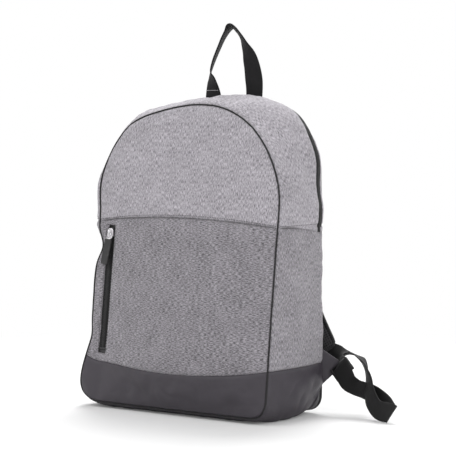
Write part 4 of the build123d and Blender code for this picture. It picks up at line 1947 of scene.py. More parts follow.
    def _cut(self) -> None:
        """Cuts the shell into panels."""
        look = self.finishes
        coated, grey_cloth = "coated_base", "heather_grey"
        cuts = (
            ("base_front_cloth", Panel.BASE_FRONT, look.coated, coated, ("base_front",), 0.7),
            ("base_gusset_cloth", Panel.BASE, look.coated, coated, ("base_gusset",), 0.7),
            ("pocket_cloth", Panel.POCKET, look.pocket, grey_cloth, ("pocket_panel", "pocket_strip"), 0.7),
            ("side_cloth_left", Panel.SIDE_LEFT, look.side, grey_cloth, ("side_panel_left",), 0.6),
            ("side_cloth_right", Panel.SIDE_RIGHT, look.side, grey_cloth, ("side_panel_right",), 0.6),
            ("gusset_back_cloth", Panel.BACK_STRIP, look.gusset, grey_cloth, ("gusset_back",), 0.6),
            ("back_pad_cloth", Panel.BACK, look.mesh, "back_mesh", ("back_panel", "back_foam"), 0.9),
            ("front_upper_cloth", Panel.UPPER, look.upper, grey_cloth, ("front_upper",), 0.7),
            ("gusset_front_cloth", Panel.GUSSET, look.gusset, grey_cloth, ("gusset_front",), 0.7),
        )
        for name, panel, material, slot, nodes, fill in cuts:
            piece = thickened(parted(self.shell, {panel.value}, name, material), self.thickness)
            placed(piece, "flap" if panel in (Panel.UPPER, Panel.GUSSET) else "pack", slot, *nodes)
        mesh = self.shell.data
        bpy.data.objects.remove(self.shell)
        bpy.data.meshes.remove(mesh)


# --------------------------------------------------------------------------------------------------
# Piping and zips
# --------------------------------------------------------------------------------------------------


@dataclass
class Piping:
    """Thin corded piping in the seam round the front."""

    bag: SoftBag
    radius: float = 1.0 * MM
    proud: float = 1.0 * MM
    pitch: float = 2.2 * MM
    waver: float = 0.25 * MM
    waver_length: float = 30 * MM
    level: float = 0.2 * MM  # how far above the pocket's seam a point still counts as on it

    def build(self) -> None:
        """Makes the lower and upper lengths."""
        seam = self.bag.form.seam
        rim = self.bag.rim
        count = len(rim)
        low = [place.z < seam + self.level for place, _ in rim]
        start = next(i for i in range(count) if not low[i - 1] and low[i])
        turned = [rim[(start + i) % count] for i in range(count)]
        split = next(i for i, (place, _) in enumerate(turned) if place.z > seam + self.level)
        material = self.bag.finishes.piping
        lower = self._length(turned[:split], "piping_cord_lower", material)
        placed(lower, "pack", "black_piping", "piping_lower")
        upper = self._length([turned[split - 1], *turned[split:], turned[0]], "piping_cord_upper", material)
        placed(upper, "flap", "black_piping", "piping_upper")

    def _length(
        self, stations: Sequence[tuple[Vector, Vector]], name: str, material: bpy.types.Material
    ) -> bpy.types.Object:
        """One length of piping.

        Args:
            stations: points of the seam and their normals.
            name: the piece's name.
            material: its material.

        Returns:
            The piece.
        """
        line = [place + normal * (self.proud + self.waver * noise.noise(place / self.waver_length))
                for place, normal in stations]
        steps = int(lengths(line)[-1] / self.pitch)
        line = eased(resample(line, [k / steps for k in range(steps + 1)]))
        return tube(line, lambda share: self.radius, 10).to_object(name, material)


@dataclass
class ZipHalf:
    """Sizes of one side of a coil zip: its tape and its teeth."""

    tape: float
    sink: float = 1.5 * MM  # tape below the cloth's face
    tape_thick: float = 0.7 * MM
    root: float = 0.5 * MM  # tape's edge off the zip's middle
    tooth: float = 2.7 * MM
    overlap: float = 0.5 * MM
    tooth_radius: float = 0.55 * MM
    pitch: float = 1.6 * MM
    rise: float = 0.5 * MM  # teeth above the tape
    stagger: float = 0.25  # how far a side's teeth are moved along, as a share of their pitch

    def tape_draft(self, line: Sequence[Vector], outs: Sequence[Vector], sides: Sequence[Vector]) -> Draft:
        """The tape.

        Args:
            line: the zip's middle, on the cloth's face.
            outs: the face's normal at each point.
            sides: the direction from the middle to the tape's outer edge at each point.

        Returns:
            Its draft.
        """
        middle = (self.root + self.tape) / 2
        centre = [p - out * self.sink + side * middle for p, out, side in zip(line, outs, sides)]
        return Band(self.tape - self.root, self.tape_thick, 1, 2).swept(centre, sides)

    def teeth_draft(
        self, line: Sequence[Vector], outs: Sequence[Vector], sides: Sequence[Vector], shift: float
    ) -> Draft:
        """The teeth, each bent round a little at its tip, shifted along by a share of their pitch.

        Args:
            line: the zip's middle, on the cloth's face.
            outs: the face's normal at each point.
            sides: the direction to the tape's outer edge at each point.
            shift: share of the pitch.

        Returns:
            Their draft.
        """
        count = int(lengths(line)[-1] / self.pitch)
        shares = [(k + 0.5 + shift) / (count + 1) for k in range(count)]
        draft = Draft()
        for share, spot in zip(shares, resample(line, shares)):
            index = min(len(line) - 2, int(share * (len(line) - 1)))
            out, side = outs[index], sides[index]
            along = (line[index + 1] - line[index]).normalized()
            base = spot - out * (self.sink - self.rise)
            bow = along * self.tooth_radius * 0.5
            tip = base - side * self.overlap
            points = [
                base + side * self.tooth - out * self.rise * 0.6,
                base + side * self.tooth * 0.72,
                base + side * self.tooth * 0.3 + bow * 0.4,
                tip + bow,
                tip - out * self.rise + bow * 1.6,
            ]
            draft.add_draft(tube(points, lambda s: self.tooth_radius * (0.82 + 0.3 * s), 6))
        return draft


@dataclass
class Zips:
    """The main zip round the arch and the pocket's upright zip."""

    bag: SoftBag
    main_depth: float = 0.0568
    main_below: float = 0.0085  # how far it runs below the pocket's seam
    pocket_x: float = -0.122
    pocket_span: tuple[float, float] = (0.0745, 0.2350)
    step: float = 3.5 * MM
    away: float = 0.03  # how far outside the bag its cloth is looked for
    bar_stitches: int = 11  # in the bar across each end of the pocket's zip
    bar_pitch: float = 0.95 * MM
    bar_length: float = 2.6 * MM
    bar_rise: float = 0.7 * MM
    bar_thread: float = 0.42 * MM
    main_half: ZipHalf = field(default_factory=lambda: ZipHalf(4.8 * MM))
    pocket_half: ZipHalf = field(default_factory=lambda: ZipHalf(6.4 * MM, sink=1.2 * MM))

    def build(self) -> None:
        """Makes both zips."""
        self._main()
        self._pocket()

    def _probe_line(self, outside: list[Vector], inward: list[Vector]) -> tuple[list[Vector], list[Vector]]:
        """Smoothed points of the cloth and their normals along a line of probes.

        Args:
            outside: where each probe starts.
            inward: its direction.

        Returns:
            The points, and the directions out of the cloth.
        """
        hits = [self.bag.probe(p, d) for p, d in zip(outside, inward)]
        line = [place for place, _ in hits]
        for _ in range(4):
            line = eased(line)
        return line, [-d for d in inward]

    def _main(self) -> None:
        """The main zip: its back half on the pack and its front half on the flap."""
        form, finishes = self.bag.form, self.bag.finishes
        path = form.arch_path(self.main_below)
        count = int(lengths(path)[-1] / self.step)
        path = resample(path, [k / count for k in range(count + 1)])
        outs = [off_arch(path, index) for index in range(count + 1)]
        outside = [Vector((p.x, self.main_depth, p.z)) + out * self.away for p, out in zip(path, outs)]
        line, outs = self._probe_line(outside, [-out for out in outs])
        for name, sign, body in (("back", 1.0, "pack"), ("front", -1.0, "flap")):
            sides = [DEPTH * sign] * len(line)
            tape = self.main_half.tape_draft(line, outs, sides).to_object(f"main_tape_{name}", finishes.tape)
            teeth = self.main_half.teeth_draft(line, outs, sides, self.main_half.stagger * sign)
            placed(tape, body, "zip_tape", f"main_zip_tape_{name}")
            coil = teeth.to_object(f"main_teeth_{name}", finishes.coil)
            placed(coil, body, "zip_coil", f"main_zip_coil_{name}")

    def _pocket(self) -> None:
        """The pocket's zip."""
        form, finishes = self.bag.form, self.bag.finishes
        low, high = self.pocket_span
        count = int((high - low) / self.step)
        heights = [low + (high - low) * k / count for k in range(count + 1)]
        inward = Vector((0, 1, -form.slope)).normalized()
        outside = [Vector((self.pocket_x, form.front_y(z), z)) - inward * self.away for z in heights]
        line, outs = self._probe_line(outside, [inward] * len(outside))
        both = Draft()
        for name, sign in (("right", 1.0), ("left", -1.0)):
            sides = [ACROSS * sign] * len(line)
            tape = self.pocket_half.tape_draft(line, outs, sides)
            piece = tape.to_object(f"pocket_tape_{name}", finishes.tape)
            placed(piece, "pack", "zip_tape", f"pocket_zip_tape_{name}")
            both.add_draft(self.pocket_half.teeth_draft(line, outs, sides, self.pocket_half.stagger * sign))
        placed(both.to_object("pocket_teeth", finishes.coil), "pack", "zip_coil", "pocket_zip_coil")
        self._pocket_ends(line, outs)

    def _pocket_ends(self, line: Sequence[Vector], outs: Sequence[Vector]) -> None:
        """A bar of close stitches across each end of the pocket's zip.

        Args:
            line: the zip's middle.
            outs: the face's normal at each point.
        """
        draft = Draft()
        for index, along in ((1, -1.0), (-2, 1.0)):
            spot, lift = line[index], outs[index] * self.bar_rise
            for k in range(self.bar_stitches):
                x = (k - self.bar_stitches // 2) * self.bar_pitch
                start = spot + ACROSS * x - lift
                end = start + UP * along * self.bar_length
                draft.add_draft(tube([start, (start + end) / 2 + lift, end], lambda s: self.bar_thread, 6))
        placed(draft.to_object("pocket_zip_bars", self.bag.finishes.black_thread), "pack", "zip_tape")


# --------------------------------------------------------------------------------------------------
# Webbing, handle and shoulder straps
# --------------------------------------------------------------------------------------------------


@dataclass
class CarryHandle:
    """Loop of webbing at the top of the back, and where its ends are sewn in."""

    bag: SoftBag
    depth: float = 0.0665
    width: float = 25 * MM
    thickness: float = 2.0 * MM
    bend: tuple[float, float] = (-5 * MM, 9 * MM)  # span about its hinge where a fold would bend the loop
    bar_height: float = 0.4125
    bar_stitches: int = 9
    bar_pitch: float = 2.55 * MM
    bar_length: float = 2.0 * MM
    bar_rise: float = 0.45 * MM
    bar_thread: float = 0.32 * MM
    # x and height in mm, degrees turned, rise of the edge
    route: tuple[tuple[float, float, float, float], ...] = (
        (-31.0, 399.0, 0.0, 0.0),
        (-31.5, 408.0, 3.0, 0.0),
        (-34.0, 425.0, 28.0, 0.0),
        (-35.4, 437.0, 53.0, 0.0),
        (-30.4, 452.0, 60.0, 0.0),
        (-21.8, 469.0, 61.0, 0.05),
        (-13.0, 484.0, 61.5, 0.14),
        (-3.0, 494.8, 58.5, 0.30),
        (5.0, 492.5, 56.0, 0.20),
        (13.4, 483.0, 48.5, 0.05),
        (20.0, 470.6, 33.0, 0.0),
        (27.0, 457.0, 11.0, 0.0),
        (31.6, 443.5, 0.0, 0.0),
        (34.4, 428.5, -9.0, 0.0),
        (35.5, 416.0, -5.0, 0.0),
        (35.0, 399.0, 0.0, 0.0),
    )

    def build(self) -> None:
        """Makes the loop and its bar of stitches, in place of the handle and its sewn-in anchors."""
        finishes = self.bag.finishes
        points = [Vector((x * MM, self.depth, z * MM)) for x, z, _, _ in self.route]
        across = []
        for _, _, turn, rise in self.route:
            angle = math.radians(turn)
            across.append(Vector((math.cos(angle), -math.sin(angle), rise)))
        line, sides = ribbon_line(list(zip(points, across)), 9)
        loop = Band(self.width, self.thickness, 2, 8).swept(line, sides, self._pinch)
        piece = loop.to_object("handle_webbing", finishes.handle)
        self._folding(piece, "carry_handle", "handle_anchor_left", "handle_anchor_right")
        self._bar(line, sides)

    def _folding(self, piece: bpy.types.Object, *nodes: str) -> None:
        """Bakes a piece of the handle where it stands, in place of CAD nodes if it has any.

        Args:
            piece: the piece.
            nodes: the nodes that it stands for.
        """
        if nodes:
            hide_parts(*nodes)
        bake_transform(piece)
        log.info("%s: %d faces on carry_handle", piece.name, len(piece.data.polygons))

    @staticmethod
    def _pinch(share: float) -> float:
        """The webbing's width along the loop: it is folded narrower where it is held."""
        return 1.0 - 0.10 * ease(0.25, 0.45, share) * ease(0.25, 0.45, 1 - share)

    def _bar(self, line: Sequence[Vector], sides: Sequence[Vector]) -> None:
        """Pale stitches across the foot of the left leg, on both faces.

        Args:
            line: the loop's middle.
            sides: the direction across it at each point.
        """
        index = min(range(len(line) // 2), key=lambda i: abs(line[i].z - self.bar_height))
        along = (line[index + 1] - line[index]).normalized()
        side = sides[index]
        out = along.cross(side)
        side = side - along * (side.z / along.z)
        draft = Draft()
        for face in (1, -1):
            lift = out * face * (self.thickness / 2)
            for k in range(self.bar_stitches):
                across = (k - self.bar_stitches / 2) * self.bar_pitch + 0.3 * MM
                start = line[index] + lift + side * across
                end = start + side * self.bar_length
                middle = (start + end) / 2 + out * face * self.bar_rise
                draft.add_draft(tube([start, middle, end], lambda s: self.bar_thread, 6))
        self._folding(draft.to_object("handle_stitches", self.bag.finishes.pale_thread))


@dataclass
class StrapSide:
    """A padded shoulder strap, its webbing, its adjuster loop and its sewn tab, on one side."""

    bag: SoftBag
    sign: float
    name: str
    patch_face: float = 0.0703
    # x, distance off the patch, height, width and thickness, in mm
    pad_route: tuple[tuple[float, float, float, float, float], ...] = (
        (46, 0, 372, 46, 4.6),
        (50, 2, 350, 52, 9.0),
        (60, 12, 300, 56, 11.0),
        (70, 19, 250, 54, 11.0),
        (80, 23, 200, 48, 11.0),
        (90, 24, 155, 42, 11.0),
        (101, 23, 122, 38, 10.0),
        (129, 22, 77, 36, 6.0),
    )
    pad_columns: int = 12
    pad_edge: float = 1.2 * MM  # thickness at its edge
    pad_roundness: float = 3.2
    pad_trim: float = 0.985  # its cloth's share of its width, inside the binding
    stitch_share: float = 0.86  # where its rows of stitches run, as a share of its half width
    binding: float = 1.9 * MM
    binding_step: float = 4 * MM
    webbing_width: float = 25 * MM
    webbing_thickness: float = 1.8 * MM
    tab_thickness: float = 2.2 * MM
    tab_corners: tuple[tuple[float, float, float], ...] = (  # foot low and high, nose high and low, in mm
        (139.5, 64.2, 34.0),
        (139.5, 64.6, 86.0),
        (160.0, 79.5, 68.5),
        (155.4, 75.0, 52.0),
    )
    bag_route: tuple[tuple[tuple[float, float, float], tuple[float, float, float]], ...] = ()
    pad_webbing: tuple[tuple[tuple[float, float, float], tuple[float, float, float]], ...] = (
        ((122.0, 96.3, 85.0), (0.81, 0.02, 0.58)),
        ((130.0, 97.0, 78.5), (0.70, 0.08, 0.70)),
        ((138.0, 98.5, 75.0), (0.50, 0.20, 0.84)),
        ((147.0, 100.3, 73.0), (0.28, 0.66, 0.68)),
        ((155.0, 101.6, 73.6), (0.10, 0.93, 0.25)),
        ((161.0, 102.0, 74.6), (0.04, 0.97, -0.10)),
        ((165.0, 102.0, 74.7), (0.00, 0.96, -0.24)),
        ((169.0, 102.0, 74.6), (0.00, 0.95, -0.30)),
    )

    def build(self) -> None:
        """Makes every piece of the side."""
        self._pad()
        self._webbing()
        self._loop()
        self._tab()

    def _mirrored(self, place: Vector) -> Vector:
        """A point or direction of the right strap, on this side."""
        return Vector((place.x * self.sign, place.y, place.z))

    def _pad_rows(self) -> tuple[list[Vector], list[Vector], list[Vector], list[float], list[float]]:
        """The pad's middle line, directions across and out, widths and thicknesses.

        Returns:
            One value of each for every point of the line.
        """
        rows = self.pad_route
        middles = [Vector((x, self.patch_face / MM + off + thick / 2, z)) * MM
                   for x, off, z, _, thick in rows]
        line = spline(middles, 7)
        sizes = spline([Vector((width * MM, thick * MM, 0)) for _, _, _, width, thick in rows], 7)
        across, outs = [], []
        for index in range(len(line)):
            along = heading(line, index)
            side = along.cross(DEPTH).normalized()
            across.append(side)
            outs.append(side.cross(along).normalized())
        return line, across, outs, [s.x for s in sizes], [s.y for s in sizes]

    def _pad(self) -> None:
        """The padded part: two faces swollen over foam, bound all round."""
        line, across, outs, widths, thicks = self._pad_rows()
        steps, flat = self.pad_columns, self.pad_edge
        draft = Draft()
        for face, sign in ((0, 1.0), (1, -1.0)):
            rows, places = [], []
            runs = lengths(line)
            for middle, side, out, width, thick, run in zip(line, across, outs, widths, thicks, runs):
                row, spots = [], []
                for k in range(steps + 1):
                    u = 2 * k / steps - 1
                    x = u * width / 2
                    depth = (thick - flat) * ((1 - abs(u) ** self.pad_roundness) * 0.5) + flat / 2
                    row.append(self._mirrored(middle + side * x * self.pad_trim + out * depth * sign))
                    spots.append((x, run))
                rows.append(row)
                places.append(spots)
            draft.add_grid(rows, places, lambda r, c, face=face: face, flip=(sign * self.sign > 0))
        self._pad_edges(draft, len(line), steps + 1)
        finishes = self.bag.finishes
        pad = draft.to_object(f"strap_pad_{self.name}_cloth", finishes.pad, finishes.mesh)
        turn_faces_out(pad)
        count, total = steps + 1, len(line) * (steps + 1)
        edge = [i for i in range(total) if i % count in (0, steps) or i < count or i >= total - count]
        swollen(pad, [*edge, *[total + i for i in edge]], 1.6, 1.8 * MM, 0.004, 14)
        subdivided(pad, 1)
        placed(pad, f"strap_{self.name}", "strap_padding", f"strap_pad_{self.name}")
        right = [m + a * w / 2 for m, a, w in zip(line, across, widths)]
        left = [m - a * w / 2 for m, a, w in zip(line, across, widths)]
        self._binding([self._mirrored(p) for p in [*right, *left[::-1]]])
        self._stitch_rows(line, across, outs, widths, thicks)

    def _pad_edges(self, draft: Draft, rows: int, count: int) -> None:
        """Closes the pad between its two faces.

        Args:
            draft: the pad, with both faces.
            rows: how many rows of points each face has.
            count: how many points a row has.
        """
        total = rows * count
        sides = [(r * count + c, (r + 1) * count + c, c == 0)
                 for r in range(rows - 1) for c in (0, count - 1)]
        ends = [(r * count + c, r * count + c + 1, r > 0) for r in (0, rows - 1) for c in range(count - 1)]
        for low, high, turned in (*sides, *ends):
            corners = [low, high, total + high, total + low]
            if turned == (self.sign > 0):
                corners.reverse()
            draft.add_face(corners, [(0, 0)] * 4)

    def _binding(self, ring: list[Vector]) -> None:
        """Narrow binding folded round the pad's edge.

        Args:
            ring: points of the pad's edge, all round.
        """
        count = int(lengths([*ring, ring[0]])[-1] / self.binding_step)
        ring = resample([*ring, ring[0]], [k / count for k in range(count)])
        for _ in range(3):
            ring = [(ring[k - 1] + ring[k] * 2 + ring[(k + 1) % count]) / 4 for k in range(count)]
        binding = tube(ring, lambda share: self.binding, 8, closed=True)
        piece = binding.to_object(f"strap_binding_{self.name}", self.bag.finishes.binding)
        placed(piece, f"strap_{self.name}", "strap_padding")

    def _stitch_rows(
        self,
        line: Sequence[Vector],
        across: Sequence[Vector],
        outs: Sequence[Vector],
        widths: Sequence[float],
        thicks: Sequence[float],
    ) -> None:
        """A row of stitches beside the binding, on the outer face.

        Args:
            line: the pad's middle.
            across: the direction across it at each point.
            outs: the direction out of its outer face.
            widths: its width at each point.
            thicks: its thickness.
        """
        draft = Draft()
        for side in (-1, 1):
            row = []
            for middle, a, out, width, thick in zip(line, across, outs, widths, thicks):
                lift = (thick - self.pad_edge) * (1 - self.stitch_share**self.pad_roundness) * 0.5 + 0.7 * MM
                row.append(self._mirrored(middle + a * side * width * (self.stitch_share / 2) + out * lift))
            draft.add_draft(Stitches().along(row, [self._mirrored(out) for out in outs]))
        piece = draft.to_object(f"strap_stitches_{self.name}", self.bag.finishes.black_thread)
        placed(piece, f"strap_{self.name}", "strap_padding")

    def _ribbon(self, route: Sequence[tuple[tuple, tuple]], flip: bool) -> Draft:
        """Webbing through a route given in millimetres.

        Args:
            route: points and directions across, for the right side.
            flip: whether it is taken over to this side.

        Returns:
            The webbing's draft.
        """
        stations = [(Vector(place) * MM, Vector(side)) for place, side in route]
        if flip:
            stations = [(self._mirrored(place), self._mirrored(side)) for place, side in stations]
        return Band(self.webbing_width, self.webbing_thickness, 2, 6).swept(*ribbon_line(stations, 5))

    def _webbing(self) -> None:
        """Webbing sewn into the foot of the pad."""
        webbing = self._ribbon(self.pad_webbing, True)
        piece = webbing.to_object(f"strap_tail_{self.name}", self.bag.finishes.webbing)
        placed(piece, f"strap_{self.name}", "black_webbing", f"strap_webbing_{self.name}")

    def _loop(self) -> None:
        """The adjuster's loop of webbing, which hangs free."""
        webbing = self._ribbon(self.bag_route, False)
        piece = webbing.to_object(f"adjuster_{self.name}", self.bag.finishes.webbing)
        placed(piece, "pack", "black_webbing", f"webbing_loop_{self.name}")

    def _tab(self) -> None:
        """The folded cloth tab that holds the webbing to the bag's corner."""
        corners = (self._mirrored(Vector(corner) * MM) for corner in self.tab_corners)
        foot_low, foot_high, nose_high, nose_low = corners
        steps_u, steps_v = 10, 12
        rows = []
        for i in range(steps_u + 1):
            u = i / steps_u
            low, high = foot_low.lerp(nose_low, u), foot_high.lerp(nose_high, u)
            row = []
            for k in range(steps_v + 1):
                v = k / steps_v
                place = low.lerp(high, v)
                sag = math.sin(math.pi * v) * (2.2 - 0.8 * u) * MM
                place += Vector((self.sign * 0.6, 0.7, 0)) * sag
                place += DEPTH * noise.noise(place / 0.012) * 0.5 * MM
                row.append(place)
            rows.append(row)
        draft = Draft()
        draft.add_grid(rows, pointed_rows(rows), flip=self.sign < 0)
        tab = draft.to_object(f"wing_tab_{self.name}_cloth", self.bag.finishes.tab)
        thickened(tab, self.tab_thickness, 0)
        subdivided(tab, 1)
        placed(tab, "pack", "coated_base", f"wing_tab_{self.name}")


@dataclass
class StrapPatch:
    """The cloth patch high on the back, over the straps' ends."""

    bag: SoftBag
    half_width: float = 80 * MM
    low: float = 342 * MM
    high: float = 388 * MM
    face: float = 0.0700
    thickness: float = 1.8 * MM
    follow: float = 5 * MM  # how far it may sink to follow the back
    corner_drop: float = 8 * MM  # how far its upper corners are drawn down
    crumple: float = 0.25 * MM
    crumple_length: float = 20 * MM
    insets: tuple[float, float] = (3 * MM, 6 * MM)  # of its two rings of stitches
    steps: int = 24

    def build(self) -> None:
        """Makes the patch and its rows of stitches."""
        columns, rows_count = 40, 14
        rows = []
        for r in range(rows_count + 1):
            row = []
            for c in range(columns + 1):
                spot = self._spot(2 * c / columns - 1, r / rows_count)
                ripple = noise.noise(Vector((spot.x, 0, spot.z)) / self.crumple_length)
                row.append(spot + DEPTH * self.crumple * ripple)
            rows.append(row)
        draft = Draft()
        draft.add_grid(rows, pointed_rows(rows), flip=True)
        patch = thickened(draft.to_object("strap_patch_cloth", self.bag.finishes.tab), self.thickness)
        placed(patch, "pack", "coated_base", "strap_patch")
        stitches = Draft()
        shares = [k / self.steps for k in range(self.steps + 1)]
        for inset in self.insets:
            side, low = 1 - inset / self.half_width, inset / (self.high - self.low)
            ring = ((-side, low), (side, low), (side, 1 - low), (-side, 1 - low), (-side, low))
            for (x0, z0), (x1, z1) in zip(ring, ring[1:]):
                spots = [self._spot(x0 + (x1 - x0) * k, z0 + (z1 - z0) * k) for k in shares]
                spots = [spot + DEPTH * 0.2 * MM for spot in spots]
                stitches.add_draft(Stitches().along(spots, [DEPTH] * len(spots)))
        rings = stitches.to_object("strap_patch_stitches", self.bag.finishes.black_thread)
        placed(rings, "pack", "coated_base")

    def _spot(self, across: float, up: float) -> Vector:
        """A place on the patch, from -1 to 1 across and from 0 to 1 up; it follows the back below it.

        Args:
            across: from -1 to 1.
            up: from 0 to 1.

        Returns:
            The place, on the patch's outer face.
        """
        x = self.half_width * across
        high = self.high - self.corner_drop * across**8
        z = self.low + (high - self.low) * up
        back, _ = self.bag.probe(Vector((x, 0.12, z)), -DEPTH)
        deep = max(self.face - self.follow, back.y + self.thickness * 0.6)
        return Vector((x, min(self.face, deep), z))


RIGHT_LOOP = (  # points of the adjuster's webbing in mm, and the direction across it
    ((160.0, 78.2, 64.2), (0.40, 0.25, 0.88)),
    ((166.8, 72.0, 63.6), (0.66, 0.20, 0.72)),
    ((174.0, 69.3, 54.6), (0.90, 0.15, 0.40)),
    ((181.0, 68.8, 44.2), (0.95, 0.10, 0.25)),
    ((192.0, 70.0, 38.0), (0.86, -0.12, 0.48)),
    ((202.0, 71.3, 35.0), (0.77, -0.20, 0.60)),
    ((211.4, 71.3, 32.6), (0.69, -0.18, 0.70)),
    ((224.5, 68.5, 28.1), (0.55, -0.04, 0.83)),
    ((239.0, 63.8, 20.8), (0.50, 0.14, 0.85)),
    ((249.7, 56.2, 13.4), (0.43, 0.32, 0.83)),
    ((254.8, 54.5, 11.4), (0.43, 0.32, 0.83)),
    ((254.0, 49.6, 13.4), (0.43, 0.32, 0.83)),
    ((237.2, 51.0, 15.4), (0.74, -0.12, 0.66)),
    ((225.2, 55.0, 25.2), (0.80, -0.24, 0.56)),
    ((217.6, 61.0, 35.4), (0.79, -0.40, 0.47)),
    ((212.4, 67.0, 44.0), (0.78, -0.60, 0.20)),
    ((205.7, 74.5, 51.5), (0.68, -0.74, 0.06)),
    ((197.0, 83.5, 59.3), (0.60, -0.80, 0.04)),
    ((186.5, 93.0, 66.8), (0.42, -0.90, 0.02)),
    ((177.5, 99.5, 72.3), (0.20, -0.95, 0.14)),
    ((169.5, 102.0, 74.6), (0.00, -0.95, 0.30)),
)
LADDER_LOCKS = (  # middle in mm, direction of the bars, direction along it
    ("ladder_lock_right", (168.9, 72.9, 58.3), (0.69, 0.22, 0.68), (0.61, -0.14, -0.78)),
    ("ladder_lock_left", (-164.5, 82.6, 52.8), (-0.45, 0.20, 0.87), (-0.82, 0.20, -0.50)),
)
LEFT_LOOP = (
    ((-157.8, 79.9, 58.5), (-0.35, 0.25, 0.90)),
    ((-166.0, 80.5, 51.5), (-0.50, 0.15, 0.85)),
    ((-177.0, 83.0, 42.5), (-0.50, 0.15, 0.85)),
    ((-189.0, 87.0, 34.0), (-0.50, 0.10, 0.86)),
    ((-201.0, 92.0, 26.0), (-0.45, 0.20, 0.87)),
    ((-212.0, 96.2, 19.5), (-0.38, 0.18, 0.90)),
    ((-220.8, 99.4, 15.6), (-0.30, 0.15, 0.94)),
    ((-222.5, 104.7, 14.2), (-0.30, 0.15, 0.94)),
    ((-217.2, 106.6, 15.6), (-0.30, 0.15, 0.94)),
    ((-208.0, 106.0, 20.5), (-0.55, 0.10, 0.83)),
    ((-200.5, 107.0, 31.0), (-0.85, 0.10, 0.50)),
    ((-196.0, 109.0, 45.0), (-0.90, -0.30, 0.30)),
    ((-193.0, 110.0, 59.0), (-0.70, -0.70, 0.10)),
    ((-187.0, 106.5, 72.0), (-0.30, -0.95, -0.05)),
    ((-176.0, 102.0, 75.2), (0.00, -0.97, 0.20)),
    ((-169.5, 102.0, 74.6), (0.00, -0.95, 0.30)),
)


# --------------------------------------------------------------------------------------------------
# Sliders, pulls and adjuster buckles
# --------------------------------------------------------------------------------------------------


def rounded(width: float, length: float, corner: float, steps: int = 5) -> list[tuple[float, float]]:
    """Outline of a rectangle with rounded corners, round its middle.

    Args:
        width: its size across.
        length: its size along.
        corner: radius of its corners.
        steps: how many steps a corner has.

    Returns:
        Points of the outline.
    """
    corner = max(min(corner, width / 2 - 1e-6, length / 2 - 1e-6), 1e-6)
    outline = []
    for quarter, (sx, sy) in enumerate(((1, 1), (-1, 1), (-1, -1), (1, -1))):
        x, y = sx * (width / 2 - corner), sy * (length / 2 - corner)
        for step in range(steps + 1):
            angle = (quarter + step / steps) * math.pi / 2
            outline.append((x + corner * math.cos(angle), y + corner * math.sin(angle)))
    return outline


def moulded(
    outline: Callable[[float], list[tuple[float, float]]],
    profile: Sequence[tuple[float, float]],
    frame_of: Matrix,
) -> Draft:
    """A moulded solid, as a stack of outlines with rounded edges.

    Args:
        outline: gives the outline drawn in by some distance.
        profile: how far it is drawn in, and its height, from below to above.
        frame_of: where the solid's own axes lie.

    Returns:
        Its draft.
    """
    rows = [[frame_of @ Vector((x, y, height)) for x, y in outline(inset)] for inset, height in profile]
    count = len(rows[0])
    places = [[(k / count, height) for k in range(count + 1)] for _, height in profile]
    draft = Draft()
    draft.add_grid(rows, places, around=True)
    draft.add_face(list(range(count))[::-1], [(0, 0)] * count)
    last = (len(rows) - 1) * count
    draft.add_face(list(range(last, last + count)), [(0, 0)] * count)
    return draft


def block(
    width: float, length: float, corner: float, edge: Sequence[tuple[float, float]], where: Matrix
) -> Draft:
    """A moulded bar with rounded corners and edges.

    Args:
        width: its size along its own X.
        length: its size along its own Y.
        corner: radius of its corners.
        edge: its profile, from below to above.
        where: where its own axes lie.

    Returns:
        Its draft.
    """
    return moulded(lambda i: rounded(width - 2 * i, length - 2 * i, corner - i), edge, where)


def edge_profile(low: float, high: float, radius: float, steps: int = 4) -> list[tuple[float, float]]:
    """Profile of a plate with rounded edges between two heights.

    Args:
        low: the lower height.
        high: the upper height.
        radius: radius of the edges.
        steps: how many steps an edge has.

    Returns:
        How far it is drawn in and its height, upwards.
    """
    profile = []
    for step in range(steps + 1):
        angle = math.pi / 2 * step / steps
        profile.append((radius * (1 - math.sin(angle)), low + radius * (1 - math.cos(angle))))
    for step in range(steps + 1):
        angle = math.pi / 2 * step / steps
        profile.append((radius * (1 - math.cos(angle)), high - radius * (1 - math.sin(angle))))
    return profile


def axes(origin: Vector, x: Vector, y: Vector, z: Vector) -> Matrix:
    """Matrix of a place's own axes."""
    turned = Matrix((x, y, z)).transposed().to_4x4()
    return Matrix.Translation(origin) @ turned


